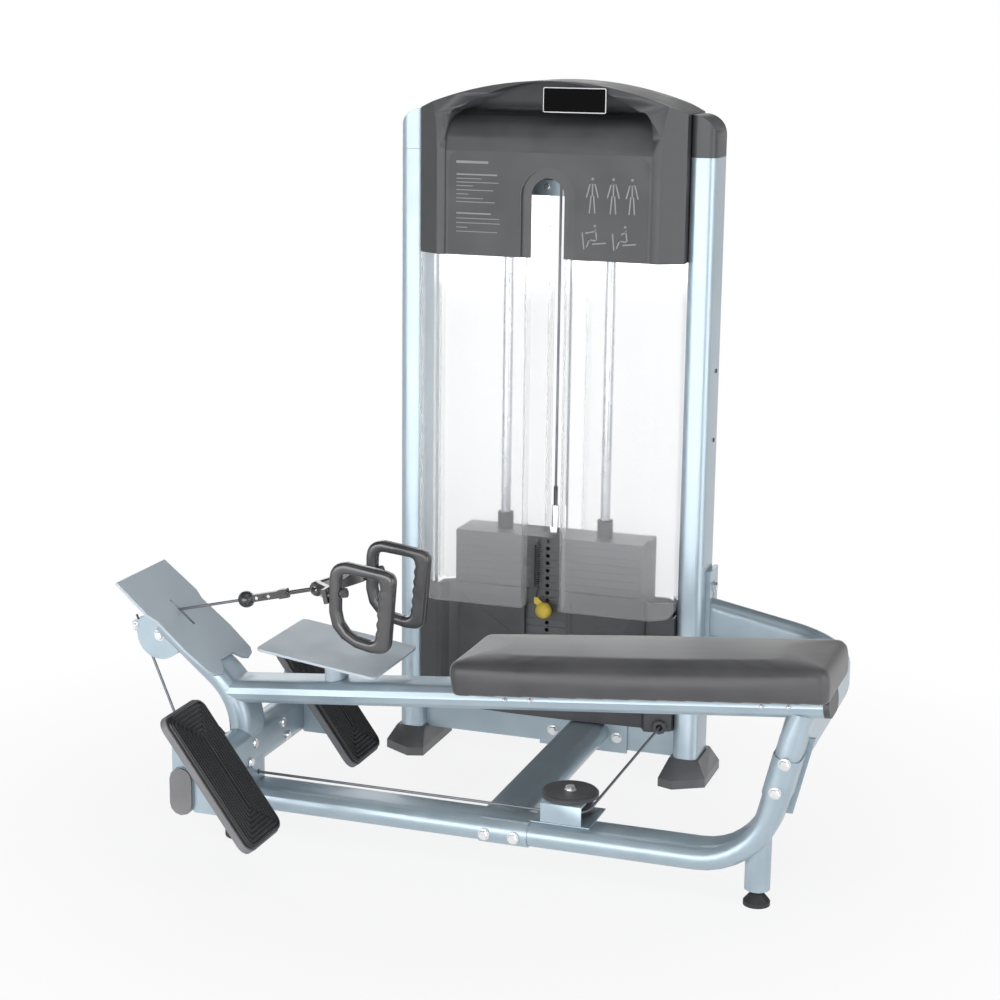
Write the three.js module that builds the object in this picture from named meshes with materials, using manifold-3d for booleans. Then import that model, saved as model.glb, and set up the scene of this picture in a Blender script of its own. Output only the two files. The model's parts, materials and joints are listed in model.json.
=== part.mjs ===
// A seated cable row machine: a weight stack tower, a bench with a leaning rail, a foot
// end with two pedals, and one cable that runs from the stack round six pulleys to a pair
// of D handles. Millimetres. X runs along the bench, Y from the bench to the tower, Z up.
import * as THREE from "three";
import { mergeVertices } from "three/addons/utils/BufferGeometryUtils.js";
import Module from "manifold-3d";

const wasm = await Module();
wasm.setup();

// Fits and mesh steps shared by every piece
const SEAT_GAP = 0.3;
const OVERRUN = 12;
const WELD = 0.001;
const JOIN = 0.5;
const ROUND = 12;
const FINE = 6;
const MEDIUM = 4;
const COARSE = 3;
const BEND_STEPS = 8;
const RIGHT_ANGLE_DEG = 90;

// Main frame tube: flat-oval section, bent on one radius
const TUBE_LONG = 100;
const TUBE_SHORT = 50;
const TUBE_WALL = 3;
const BEND_RADIUS = 150;

// Tower: posts
const TOWER_Y = 668;
const TOWER_TOP = 1566;
const CAP_DROP = 66;
const CAP_HEIGHT = 90;
const CAP_TOP = TOWER_TOP - CAP_DROP;
const POST_TOP = CAP_TOP - CAP_HEIGHT;
const POST_OUTER_X = 362;
const POST_WIDTH = 58;
const POST_DEPTH = 112;
const POST_ROUND = 18;
const POST_BASE_THICKNESS = 8;
const POST_BASE_LENGTH = 180;
const POST_INNER_X = POST_OUTER_X - POST_WIDTH;
const POST_X = POST_OUTER_X - POST_WIDTH / 2;
const CAP_RUN = 52;
const CAP_SPIGOT = 24;

// Tower: foot covers
const COVER_HALF_LENGTH = 110;
const COVER_LIP = 20;
const COVER_TOP = 56;
const COVER_INNER_X = 285;
const COVER_OUTER_X = 388;
const COVER_POINT_X = 321;
const COVER_INNER_CUT = 12;
const COVER_OUTER_CUT = 40;
const COVER_WALL = 4;
const COVER_COLLAR = 5;

// Tower: base cross member, its bench plate and the base pulley brackets
const BASE_BOTTOM = 50;
const BASE_TOP = 110;
const BASE_DEPTH = 50;
const BASE_PLATE_LEFT = -18;
const BASE_PLATE_RIGHT = 192;
const BASE_PLATE_THICKNESS = 8;
const BASE_PLATE_BOTTOM = 44;
const BASE_PLATE_TOP = 112;

// Tower: top cross beam
const BEAM_DROP = 64;
const BEAM_HEIGHT = 35;
const BEAM_TOP = POST_TOP - BEAM_DROP;
const BEAM_BOTTOM = BEAM_TOP - BEAM_HEIGHT;
const BEAM_FRONT = 22;
const BEAM_BACK = 67;
const BEAM_EAR_WIDTH = 50;
const BEAM_EAR_DEPTH = 45;
const BEAM_EAR_HEIGHT = 20;

// Tower: guide rods, cushion and weight stack
const ROD_X = 120;
const ROD_RADIUS = 11;
const ROD_SEAT_DEPTH = 12;
const PLATE_HALF_WIDTH = 223;
const PLATE_FRONT = -52;
const PLATE_BACK = 52;
const PLATE_PITCH = 17.5;
const PLATE_GROOVE = 2;
const PLATE_GROOVE_HEIGHT = 1.6;
const PLATE_COUNT = 20;
const LIFTED_COUNT = 9;
const STACK_BOTTOM = 177.5;
const STACK_TOP = STACK_BOTTOM + PLATE_COUNT * PLATE_PITCH;
const HEAD_THICKNESS = 17;
const PLATE_ROD_CLEARANCE = 1.5;
const SELECTOR_RADIUS = 10;
const PIN_HOLE_RADIUS = 5.5;
const PIN_RADIUS = 4.5;
const KNOB_RADIUS = 19;
const KNOB_OUT = -78;
const KNOB_SIDES = 20;
const KNOB_NECK_RADIUS = 8;
const KNOB_TAB_WIDTH = 9;
const KNOB_TAB_HEIGHT = 26;
const KNOB_TAB_THICKNESS = 5;
const CUSHION_RADIUS = 24;
const COLLAR_RADIUS = 18.5;
const COLLAR_HEIGHT = 40;
const NUT_FLATS = 25;
const NUT_HEIGHT = 14;
const FITTING_RADIUS = 9;
const FITTING_HEIGHT = 64.2;
const SLEEVE_RADIUS = 5;
const SLEEVE_RISE = 45;
const LANYARD_X = -22;
const LANYARD_OUT = -65;
const LANYARD_CORD = 1.3;
const LANYARD_CURL_RADIUS = 5;
const LANYARD_CURLS = 18;
const LANYARD_PITCH = 5.4;
const LANYARD_LEAD = 5;
const LANYARD_STUD_RADIUS = 3.5;
const LANYARD_STUD_LENGTH = 16;

// Tower: moulded top shroud
const SHROUD_FRONT = -108;
const SHROUD_SEAM = 44;
const SHROUD_CORNER_X = 254;
const SHROUD_CHAMFER_Y = 32;
const SHROUD_HEIGHT = 382;
const SHROUD_BOTTOM = TOWER_TOP - SHROUD_HEIGHT;
const SHROUD_ARCH_RISE = 63;
const SHROUD_ARCH_END = TOWER_TOP - SHROUD_ARCH_RISE;
const SHROUD_WALL = 4;
const SHROUD_BROW = 20;
const RECESS_HALF = 236;
const RECESS_DEPTH = 5;
const RECESS_SHOULDER_DROP = 126;
const RECESS_SHOULDER = TOWER_TOP - RECESS_SHOULDER_DROP;
const RECESS_EYE_HALF = 203;
const RECESS_EYE_DROP = 60;
const RECESS_EYE_Z = TOWER_TOP - RECESS_EYE_DROP;
const ROLL_START_DROP = 154;
const ROLL_START = TOWER_TOP - ROLL_START_DROP;
const ROLL_TOP_DROP = 76;
const ROLL_TOP = TOWER_TOP - ROLL_TOP_DROP;
const ROLL_DEPTH = 80;
const SHELF_RISE = 8;
const SHELF_BACK = 56;
const SLOT_HALF = 38;
const SLOT_DROP = 208;
const SLOT_TOP = TOWER_TOP - SLOT_DROP;
const SLOT_RIM = 21;
const SLOT_RIM_DEPTH = 7;

// Tower: frosted screens and moulded lower shroud
const SCREEN_BOTTOM = 388;
const SCREEN_WALL = 4;
const SCREEN_SLOT_HALF = 43.5;
const SCREEN_LIP = 38;
const SCREEN_CORNER = 22;
const LOWER_TOP = 424;
const LOWER_BOTTOM = 122;
const LOWER_WING_X = 246;
const LOWER_WING = -88;
const LOWER_RECESS = -65;
const LOWER_WALL = 4;
const LOWER_SLOT_HALF = 50;
const LOWER_SLOT_BOTTOM = 200;
const LOWER_DROOP = 12;
const LOWER_BACK_TOP = 387;
const OUTLET_RADIUS = 8;
const OUTLET_BOSS = 16;

// Where the foot end stands along the bench
const FOOT_X = -464;

// Cable and pulleys
const CABLE_RADIUS = 3;
const CABLE_LEVEL = 135;
const PULLEY_LINE = 45;
const PULLEY_FLANGE = 50;
const PULLEY_HALF_WIDTH = 11;
const PULLEY_RIM = 3;
const PULLEY_SIDES = 20;
const CABLE_SIDES = 8;
const CABLE_TURN_STEPS = 8;
const PIN_SHAFT = 8;
const CHEEK = 5;
const TOP_PULLEY_DROP = 130;
const TOP_PULLEY_Z = TOWER_TOP - TOP_PULLEY_DROP;
const REAR_PULLEY_X = 45;
const OUTLET_X = 282;
const REDIRECT_Y = 45;
const FOOT_PULLEY_REACH = 96;
const FOOT_PULLEY_Z = 180;
const FOOT_PULLEY = [FOOT_X - FOOT_PULLEY_REACH, FOOT_PULLEY_Z];
const HEEL_PULLEY_REACH = 193;
const HEEL_PULLEY_Z = 417;
const HEEL_PULLEY = [FOOT_X - HEEL_PULLEY_REACH, HEEL_PULLEY_Z];
const PULL_RISE_DEG = 13.7;

// Bench
const CROSSBEAM_X = 99;
const LOWER_TUBE_Z = 90.5;
const BENCH_BEND_X = 518;
const BENCH_BEND_DEG = 76.5;
const RISER_JOINT_Z = 320;
const SLEEVE_LENGTH = 84;
const SLEEVE_THICKNESS = 3;
const SPLICE_LEFT = 70;
const SPLICE_RIGHT = 175;
const SPIGOT_LENGTH = 60;
const RAIL_ZERO_Z = 362;
const RAIL_SLOPE_DEG = 5.24;
const RAIL_OVER_FOOT = 26;
const RAIL_LEFT = FOOT_X - RAIL_OVER_FOOT;
const RAIL_RIGHT = 763;
const RAIL_CAP = 12;
const LEVEL_X = 638;
const LEVEL_STUB_RADIUS = 26;
const LEVEL_STUB_BOTTOM = 33;
const LEVEL_STUB_TOP = 150;
const LEVEL_DISC_RADIUS = 27;
const LEVEL_DISC_LIP = 8;
const LEVEL_CONE_TOP = 24;
const LEVEL_STEM_RADIUS = 7;
const LEVEL_STEM_INSIDE = 14;
const PAD_OVERHANG = 27;
const PAD_LENGTH = 758;
const PAD_LEFT = RAIL_RIGHT + PAD_OVERHANG - PAD_LENGTH;
const PAD_WIDTH = 238;
const PAD_THICKNESS = 72;
const PAD_ROUND = 22;
const PAD_CROWN = 5;
const PAD_DRAW_IN = 5;
const PAD_CORNER = 24;
const PAD_CORNER_LEAST = 6;
// How far in and how high the crown's rings lie, as shares of the half width and the crown
const PAD_CROWN_SHARES = [[0.25, 0.45], [0.6, 0.85], [0.9, 1]];
const STEP_LEFT = -385;
const STEP_LENGTH = 262;
const STEP_WIDTH = 237;
const STEP_THICKNESS = 6;
const STEP_CORNER = 12;
const STEP_LEFT_Z = 446.5;
const STEP_SLOPE_DEG = -7.5;
const STEP_STUB_X = -258;
const STEP_STUB_WIDTH = 42;
const STEP_STUB_LENGTH = 60;
const BRACE_Z = 322;
const BRACE_X = 690;
const BRACE_CORNER_SETBACK = 22;
const BRACE_CORNER_Y = TOWER_Y - BRACE_CORNER_SETBACK;
const BRACE_START_OFFSET = 18;
const BRACE_START_Y = TOWER_Y + BRACE_START_OFFSET;
const BRACE_PLATE_OFFSET = 22;
const BRACE_PLATE_Y = TOWER_Y + BRACE_PLATE_OFFSET;
const BRACE_RISE_SHARE = 0.157;
const BRACE_PLATE_THICKNESS = 10;
const BRACE_PLATE_BOTTOM = 318;
const BRACE_PLATE_TOP = 490;
const BRACE_PLATE_HALF_DEPTH = 36;
const BRACE_LUG_THICKNESS = 7;
const BRACE_LUG_WIDTH = 70;
const BRACE_LUG_BOTTOM = 176;
const BRACE_LUG_TOP = 336;

// Foot end
const FOOT_BEAM_Z = 193;
const FOOT_BEAM_HALF = 300;
const BEAM_CAP_THICKNESS = 5;
const BEAM_CAP_INSET = 2;
const POST_HOLE_RADIUS = 6;
const BOOT_LONG = 124;
const BOOT_SHORT = 80;
const BOOT_HEIGHT = 45;
const BOOT_FLOOR = 14;
const UPRIGHT_DEG = 50;
const UPRIGHT_BEND_Z = 235.1;
const UPRIGHT_TOP_RUN = 158;
const SLOPE_REACH = 242;
const SLOPE_TOP_Z = 549;
const SLOPE_TOP = [FOOT_X - SLOPE_REACH, SLOPE_TOP_Z];
const SLOPE_DEG = 40;
const SLOPE_THICKNESS = 6;
const SLOPE_LENGTH = 283;
const SLOPE_HALF_WIDTH = 110;
// Half outline of the plate, shares of its length and half width from the upper edge down
const SLOPE_OUTLINE = [
  [0, 0.955], [0.336, 1], [0.417, 0.91], [0.717, 0.945], [0.95, 0.88],
  [0.993, 0.77], [1.01, 0.58], [0.986, 0.43], [0.915, 0.28],
];
const SLOPE_SLOT_START = 88;
const SLOPE_SLOT_END = 162;
const SLOPE_SLOT_WIDTH = 9;
const HEEL_SLOT_RUN = 62;
const HEEL_CHEEK_RADIUS = 24;
const HEEL_KEEPER = [-710, 433];
const HEEL_KEEPER_RADIUS = 13;
const FOOT_CHEEK_HALF = 25;
const FOOT_CHEEK_NOSE = 15;
const PEDAL_REACH = 175;
const PEDAL_LOW_Z = 104.5;
const PEDAL_BOTTOM = [FOOT_X + PEDAL_REACH, PEDAL_LOW_Z];
const PEDAL_BEHIND = 10;
const PEDAL_HIGH_Z = 360;
const PEDAL_TOP = [FOOT_X - PEDAL_BEHIND, PEDAL_HIGH_Z];
const PEDAL_WIDTH = 153;
const PEDAL_OVERHANG = 41;
const PEDAL_PLATE = 14;
const PEDAL_TREAD = 11;
const PEDAL_CORNER = 26;
const PEDAL_TREAD_INSET = 4;
const TREAD_CORNER_STEPS = 2;
const TREAD_GROOVES = 4;
const TREAD_GROOVE_WIDTH = 4;
const TREAD_GROOVE_DEPTH = 3;
const TREAD_GROOVE_PITCH = 13;
const GUSSET_THICKNESS = 8;
const GUSSET_INSET = 46;
const GUSSET_OUTLINE = [[-486, 225], [-486, 285], [-450.5, 285], [-352.9, 150], [-439, 150]];

// Redirect pulley on the lower tube
const REDIRECT_PLATE_THICKNESS = 3;
const REDIRECT_PLATE_LEFT = 173;
const REDIRECT_PLATE_RIGHT = 299;
const REDIRECT_PLATE_FRONT = -24;
const REDIRECT_PLATE_BACK = 95;
const CHANNEL_HALF = 43;
const CHANNEL_FRONT = -20;
const CHANNEL_WALL = 4;
const CHANNEL_BACK = 78;
const CHANNEL_TOP = 158;
const CHANNEL_HUB_RADIUS = 14;
const COVER_DISC_RADIUS = 59;
const COVER_DISC_TOP = 169;
const COVER_DISC_ROUND = 4;
const COVER_DISC_SIDES = 32;

// Handle set, measured along the pull line from the centre of the ball
const BALL_REACH = 3;
const BALL_X = FOOT_X + BALL_REACH;
const BALL_RADIUS = 18;
const LINK_START = 16;
const LINK_LENGTH = 62;
const LINK_HEIGHT = 15;
const LINK_WIDTH = 13;
const CLEVIS_LENGTH = 20;
const CLEVIS_HEIGHT = 19;
const RING_LENGTH = 72;
const RING_WIDTH = 25;
const RING_BAR = 5;
const EYE_FROM_BALL = 160;
const EYE_RADIUS = 5.8;
const YOKE_THICKNESS = 9;
const YOKE_HEIGHT = 30;
const YOKE_NOSE = 16;
const YOKE_REACH = 74;
const YOKE_SPREAD = 78;
const HANDLE_SPREAD = 96;
const HANDLE_WIDTH = 140;
const HANDLE_HEIGHT = 180;
const HANDLE_THICKNESS = 24;
const HANDLE_ROUND = 6;
const SWIVEL_RADIUS = 7;
const SWIVEL_NUT_RADIUS = 10;
const SWIVEL_NUT_LENGTH = 10;
const SWIVEL_END = 275;
const HANDLE_PIVOT = [-216, 575];
const HANDLE_OUTER = [
  ["moveTo", -0.093, -0.222],
  ["lineTo", -0.086, 0.167],
  ["quadraticCurveTo", -0.071, 0.344, 0.157, 0.356],
  ["lineTo", 0.786, 0.289],
  ["quadraticCurveTo", 0.914, 0.267, 0.907, 0.167],
  ["lineTo", 0.836, -0.528],
  ["quadraticCurveTo", 0.821, -0.639, 0.679, -0.644],
  ["lineTo", 0.536, -0.644],
  ["bezierCurveTo", 0.214, -0.622, -0.093, -0.472, -0.093, -0.222],
];
const HANDLE_INNER_START = [
  ["moveTo", 0.064, -0.211],
  ["lineTo", 0.071, 0.156],
  ["quadraticCurveTo", 0.079, 0.233, 0.186, 0.233],
  ["lineTo", 0.6, 0.2],
  ["quadraticCurveTo", 0.693, 0.189, 0.686, 0.122],
];
const HANDLE_INNER_END = [
  ["quadraticCurveTo", 0.614, -0.517, 0.543, -0.522],
  ["lineTo", 0.5, -0.522],
  ["bezierCurveTo", 0.257, -0.511, 0.064, -0.378, 0.064, -0.211],
];
const GRIP_TOP = [0.686, 0.122];
const GRIP_BOTTOM = [0.629, -0.456];
const GRIP_WAVES = 5;
const GRIP_WAVE_SHARE = 0.016;

// Flat shapes
function stadium(long, short) {
  const r = short / 2;
  const run = long / 2 - r;
  const shape = new THREE.Shape();
  shape.moveTo(-run, -r);
  shape.lineTo(run, -r);
  shape.absarc(run, 0, r, -Math.PI / 2, Math.PI / 2, false);
  shape.lineTo(-run, r);
  shape.absarc(-run, 0, r, Math.PI / 2, (3 * Math.PI) / 2, false);
  return shape;
}

function circle(radius) {
  const shape = new THREE.Shape();
  shape.absarc(0, 0, radius, 0, 2 * Math.PI, false);
  return shape;
}

function roundedBox(width, height, radius) {
  const x = width / 2 - radius;
  const y = height / 2 - radius;
  const shape = new THREE.Shape();
  shape.absarc(x, y, radius, 0, Math.PI / 2, false);
  shape.absarc(-x, y, radius, Math.PI / 2, Math.PI, false);
  shape.absarc(-x, -y, radius, Math.PI, (3 * Math.PI) / 2, false);
  shape.absarc(x, -y, radius, (3 * Math.PI) / 2, 2 * Math.PI, false);
  shape.closePath();
  return shape;
}

function polygon(points) {
  return new THREE.Shape(points.map(([x, y]) => new THREE.Vector2(x, y)));
}

function rectangle(x0, x1, y0, y1) {
  return polygon([[x0, y0], [x1, y0], [x1, y1], [x0, y1]]);
}

function hexagon(flats) {
  const r = flats / Math.sqrt(3);
  const corners = [...Array(6).keys()].map((k) => (k * Math.PI) / 3);
  return polygon(corners.map((a) => [r * Math.cos(a), r * Math.sin(a)]));
}

// The same outline with its arcs in fewer steps
function stepped(shape) {
  return new THREE.Shape(shape.getPoints(COARSE));
}

function pierced(outer, ...holes) {
  outer.holes.push(...holes);
  return outer;
}

// A sheet of one thickness that follows a bent line, offset to the line's left
function bentSheet(points, thickness) {
  const line = points.map(([x, y]) => new THREE.Vector2(x, y));
  const side = (a, b) => new THREE.Vector2(a.y - b.y, b.x - a.x).normalize();
  const back = line.map((point, i) => {
    const before = i > 0 ? side(line[i - 1], point) : side(point, line[i + 1]);
    const after = i < line.length - 1 ? side(point, line[i + 1]) : before;
    const mid = before.clone().add(after).normalize();
    return point.clone().addScaledVector(mid, thickness / mid.dot(before));
  });
  return new THREE.Shape([...line, ...back.reverse()]);
}

// Solids: a closed geometry in, a closed geometry out
function extrudeZ(shape, from, to, curveSegments = MEDIUM) {
  const options = { depth: to - from, bevelEnabled: false, curveSegments };
  return new THREE.ExtrudeGeometry(shape, options).translate(0, 0, from);
}

// The shape's first axis becomes X and its second Z
function extrudeY(shape, from, to, curveSegments = MEDIUM) {
  return extrudeZ(shape, -to, -from, curveSegments).rotateX(Math.PI / 2);
}

// The shape's first axis becomes Y and its second Z
function extrudeX(shape, from, to, curveSegments = MEDIUM) {
  const turn = new THREE.Matrix4().makeBasis(
    new THREE.Vector3(0, 1, 0),
    new THREE.Vector3(0, 0, 1),
    new THREE.Vector3(1, 0, 0),
  );
  return extrudeZ(shape, from, to, curveSegments).applyMatrix4(turn);
}

function box(x0, x1, y0, y1, z0, z1) {
  return extrudeZ(rectangle(x0, x1, y0, y1), z0, z1);
}

// A line through points in the XZ plane, swept by a section whose long side lies along Y
class StepCurve extends THREE.Curve {
  constructor(points) {
    super();
    this.points = points;
  }

  getUtoTmapping(u) {
    return u;
  }

  getPoint(t, target = new THREE.Vector3()) {
    const spans = this.points.length - 1;
    const i = Math.min(Math.floor(t * spans), spans - 1);
    return target.lerpVectors(this.points[i], this.points[i + 1], t * spans - i);
  }

  getTangent(t, target = new THREE.Vector3()) {
    const spans = this.points.length - 1;
    const i = Math.round(t * spans);
    const here = this.points[i];
    const before = this.points[Math.max(i - 1, 0)];
    const after = this.points[Math.min(i + 1, spans)];
    const arriving = here.clone().sub(before).normalize();
    const leaving = after.clone().sub(here).normalize();
    return target.addVectors(arriving, leaving).normalize();
  }
}

function sweep(shape, points, curveSegments = MEDIUM) {
  const extrudePath = new StepCurve(points);
  const steps = points.length - 1;
  return new THREE.ExtrudeGeometry(shape, { steps, extrudePath, bevelEnabled: false, curveSegments });
}

// Bends a section along a flat line given as [x, z] points; the section's first axis is Y
function bentTube(shape, line, curveSegments = MEDIUM) {
  const points = line.map(([x, z]) => new THREE.Vector3(x, z, 0));
  return sweep(shape, points, curveSegments).rotateX(Math.PI / 2);
}

// Points on an arc round a centre, from one angle to another in degrees
function arc([cx, cy], radius, fromDeg, toDeg, steps) {
  return [...Array(steps + 1).keys()].map((k) => {
    const a = THREE.MathUtils.degToRad(fromDeg + ((toDeg - fromDeg) * k) / steps);
    return [cx + radius * Math.cos(a), cy + radius * Math.sin(a)];
  });
}

function solid(geometry) {
  const bare = geometry.index ? geometry.toNonIndexed() : geometry.clone();
  bare.deleteAttribute("normal");
  bare.deleteAttribute("uv");
  const merged = mergeVertices(bare, WELD);
  const vertProperties = merged.attributes.position.array;
  const triVerts = new Uint32Array(merged.index.array);
  return new wasm.Manifold(new wasm.Mesh({ numProp: 3, vertProperties, triVerts }));
}

function geometryOf(body) {
  const mesh = body.getMesh();
  const geometry = new THREE.BufferGeometry();
  geometry.setAttribute("position", new THREE.BufferAttribute(mesh.vertProperties, 3));
  geometry.setIndex(new THREE.BufferAttribute(mesh.triVerts, 1));
  geometry.computeVertexNormals();
  return geometry;
}

function join(...geometries) {
  return geometryOf(geometries.map(solid).reduce((a, b) => a.add(b)));
}

function cut(geometry, ...tools) {
  return geometryOf(tools.map(solid).reduce((a, b) => a.subtract(b), solid(geometry)));
}

function common(...geometries) {
  return geometryOf(geometries.map(solid).reduce((a, b) => a.intersect(b)));
}

// The same geometry on the other side of the plane where one axis is zero
function mirrored(geometry, axis) {
  const flip = { x: [-1, 1, 1], y: [1, -1, 1] }[axis];
  const copy = geometry.index ? geometry.toNonIndexed() : geometry.clone();
  copy.scale(...flip);
  const p = copy.attributes.position;
  const a = new THREE.Vector3();
  const b = new THREE.Vector3();
  for (let i = 0; i < p.count; i += 3) {
    a.fromBufferAttribute(p, i);
    b.fromBufferAttribute(p, i + 1);
    p.setXYZ(i, b.x, b.y, b.z);
    p.setXYZ(i + 1, a.x, a.y, a.z);
  }
  copy.computeVertexNormals();
  return copy;
}

// Cylinders along each axis through a point
function rodZ(x, y, radius, from, to, segments = MEDIUM) {
  return extrudeZ(circle(radius), from, to, segments).translate(x, y, 0);
}

function rodY(x, z, radius, from, to, segments = MEDIUM) {
  return extrudeY(circle(radius), from, to, segments).translate(x, 0, z);
}

function rodX(y, z, radius, from, to, segments = MEDIUM) {
  return extrudeX(circle(radius), from, to, segments).translate(0, y, z);
}

// Finishes
function finish(color, roughness, metalness) {
  return () => new THREE.MeshStandardMaterial({ color, roughness, metalness });
}
const framePaint = finish(0xa8bcc6, 0.42, 0.35);
const platePaint = finish(0x9aa3aa, 0.5, 0.3);
const darkPlastic = finish(0x4b4c4e, 0.55, 0);
const greyPlastic = finish(0x97989c, 0.5, 0);
const rubber = finish(0x37383a, 0.8, 0);
const steel = finish(0xc4c6c8, 0.3, 0.9);
const stackPaint = finish(0x55575a, 0.5, 0.4);
const frosted = finish(0xf1f2f4, 0.6, 0);
const yellow = finish(0xe6cd5a, 0.4, 0);
const leather = finish(0x505153, 0.6, 0);
const cableCoat = finish(0x3c3e42, 0.45, 0);

const machine = new THREE.Group();

function group(x = 0, y = 0, z = 0) {
  const made = new THREE.Group();
  made.position.set(x, y, z);
  machine.add(made);
  return made;
}

function piece(parent, name, geometry, material, position = [0, 0, 0]) {
  const mesh = new THREE.Mesh(geometry, material());
  mesh.name = name;
  mesh.position.set(...position);
  parent.add(mesh);
  return mesh;
}

// The tower's own frame: its centre line is X 0, Y 0
const tower = group(0, TOWER_Y, 0);

function postSection(grow = 0) {
  return stepped(roundedBox(POST_WIDTH + 2 * grow, POST_DEPTH + 2 * grow, POST_ROUND + grow));
}

function makePost() {
  const bore = postSection(-TUBE_WALL);
  const tube = extrudeZ(pierced(postSection(), bore), POST_BASE_THICKNESS - JOIN, POST_TOP);
  const foot = roundedBox(POST_WIDTH, POST_BASE_LENGTH, POST_ROUND);
  return join(tube, extrudeZ(foot, 0, POST_BASE_THICKNESS));
}

function makePostCap() {
  const height = CAP_TOP - POST_TOP;
  const half = POST_WIDTH / 2;
  const profile = new THREE.Shape();
  profile.moveTo(-half, 0);
  profile.lineTo(half, 0);
  profile.lineTo(half, height - CAP_RUN);
  profile.absarc(half - CAP_RUN, height - CAP_RUN, CAP_RUN, 0, Math.PI / 2, false);
  profile.lineTo(-half, height);
  const dome = common(
    extrudeY(profile, -POST_DEPTH / 2, POST_DEPTH / 2, FINE),
    extrudeZ(postSection(), 0, height),
  );
  const spigot = extrudeZ(postSection(-TUBE_WALL - SEAT_GAP), -CAP_SPIGOT, JOIN);
  return join(dome, spigot);
}

// Rings of points joined into one closed body; each ring runs the same way round
function loft(rings) {
  const count = rings[0].length;
  const positions = rings.flat(2);
  const index = [];
  for (let r = 0; r < rings.length - 1; r += 1) {
    for (let i = 0; i < count; i += 1) {
      const a = r * count + i;
      const b = r * count + ((i + 1) % count);
      index.push(a, b, b + count, a, b + count, a + count);
    }
  }
  const last = (rings.length - 1) * count;
  for (let i = 1; i < count - 1; i += 1) {
    index.push(0, i + 1, i);
    index.push(last, last + i, last + i + 1);
  }
  const geometry = new THREE.BufferGeometry();
  geometry.setAttribute("position", new THREE.Float32BufferAttribute(positions, 3));
  geometry.setIndex(index);
  geometry.computeVertexNormals();
  return geometry;
}

// The foot cover's plan is a boat with a pointed nose at each end
function coverRing(inset, z) {
  const inner = COVER_INNER_X - POST_X + inset;
  const outer = COVER_OUTER_X - POST_X - inset;
  const nose = COVER_POINT_X - POST_X;
  const end = COVER_HALF_LENGTH - inset;
  const innerEnd = end - COVER_INNER_CUT;
  const outerEnd = end - COVER_OUTER_CUT;
  return [
    [inner, -innerEnd, z],
    [nose, -end, z],
    [outer, -outerEnd, z],
    [outer, outerEnd, z],
    [nose, end, z],
    [inner, innerEnd, z],
  ];
}

function makeFootCover() {
  const top = [
    [-POST_WIDTH / 2 - COVER_COLLAR, -POST_DEPTH / 2],
    [COVER_POINT_X - POST_X, -POST_DEPTH / 2 - COVER_COLLAR],
    [POST_WIDTH / 2 + COVER_COLLAR, -POST_DEPTH / 2],
    [POST_WIDTH / 2 + COVER_COLLAR, POST_DEPTH / 2],
    [COVER_POINT_X - POST_X, POST_DEPTH / 2 + COVER_COLLAR],
    [-POST_WIDTH / 2 - COVER_COLLAR, POST_DEPTH / 2],
  ];
  const ringAt = (z) => top.map(([x, y]) => [x, y, z]);
  const shell = loft([coverRing(0, 0), coverRing(0, COVER_LIP), ringAt(COVER_TOP)]);
  const insetTop = top.map(([x, y]) => [x * (1 - COVER_WALL / POST_WIDTH), y, COVER_TOP - COVER_WALL]);
  const room = loft([
    coverRing(COVER_WALL, -OVERRUN),
    coverRing(COVER_WALL, COVER_LIP - COVER_WALL / 2),
    insetTop,
  ]);
  const hole = extrudeZ(postSection(SEAT_GAP), -OVERRUN, COVER_TOP + OVERRUN);
  const base = roundedBox(POST_WIDTH + 2 * SEAT_GAP, POST_BASE_LENGTH + 2 * SEAT_GAP, POST_ROUND);
  const baseRoom = extrudeZ(base, -OVERRUN, POST_BASE_THICKNESS + SEAT_GAP);
  const depth = BASE_DEPTH / 2 + SEAT_GAP;
  const innerX = COVER_INNER_X - POST_X - OVERRUN;
  const memberRoom = box(innerX, 0, -depth, depth, BASE_BOTTOM - SEAT_GAP, COVER_TOP + OVERRUN);
  return cut(shell, room, hole, baseRoom, memberRoom);
}

function makeBaseMember() {
  const half = POST_INNER_X - SEAT_GAP;
  const depth = BASE_DEPTH / 2;
  const section = pierced(
    rectangle(-depth, depth, BASE_BOTTOM, BASE_TOP),
    rectangle(-depth + TUBE_WALL, depth - TUBE_WALL, BASE_BOTTOM + TUBE_WALL, BASE_TOP - TUBE_WALL),
  );
  const tube = extrudeX(section, -half, half);
  const plate = box(
    BASE_PLATE_LEFT, BASE_PLATE_RIGHT,
    -depth - BASE_PLATE_THICKNESS, -depth,
    BASE_PLATE_BOTTOM, BASE_PLATE_TOP,
  );
  const seats = [-ROD_X, ROD_X].map((x) =>
    rodZ(x, 0, ROD_RADIUS + SEAT_GAP, BASE_TOP - TUBE_WALL - OVERRUN, BASE_TOP + OVERRUN, ROUND));
  return join(cut(tube, ...seats), plate, ...basePulleyBrackets());
}

// The cable comes down behind the stack one pulley diameter from the tower's middle
const REAR_PULLEY_Y = 2 * PULLEY_LINE;
const REAR_PULLEY_Z = CABLE_LEVEL + PULLEY_LINE;
const SIDE_PULLEY_X = OUTLET_X - PULLEY_LINE;
const SIDE_PULLEY_Y = REAR_PULLEY_Y - PULLEY_LINE;

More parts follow.
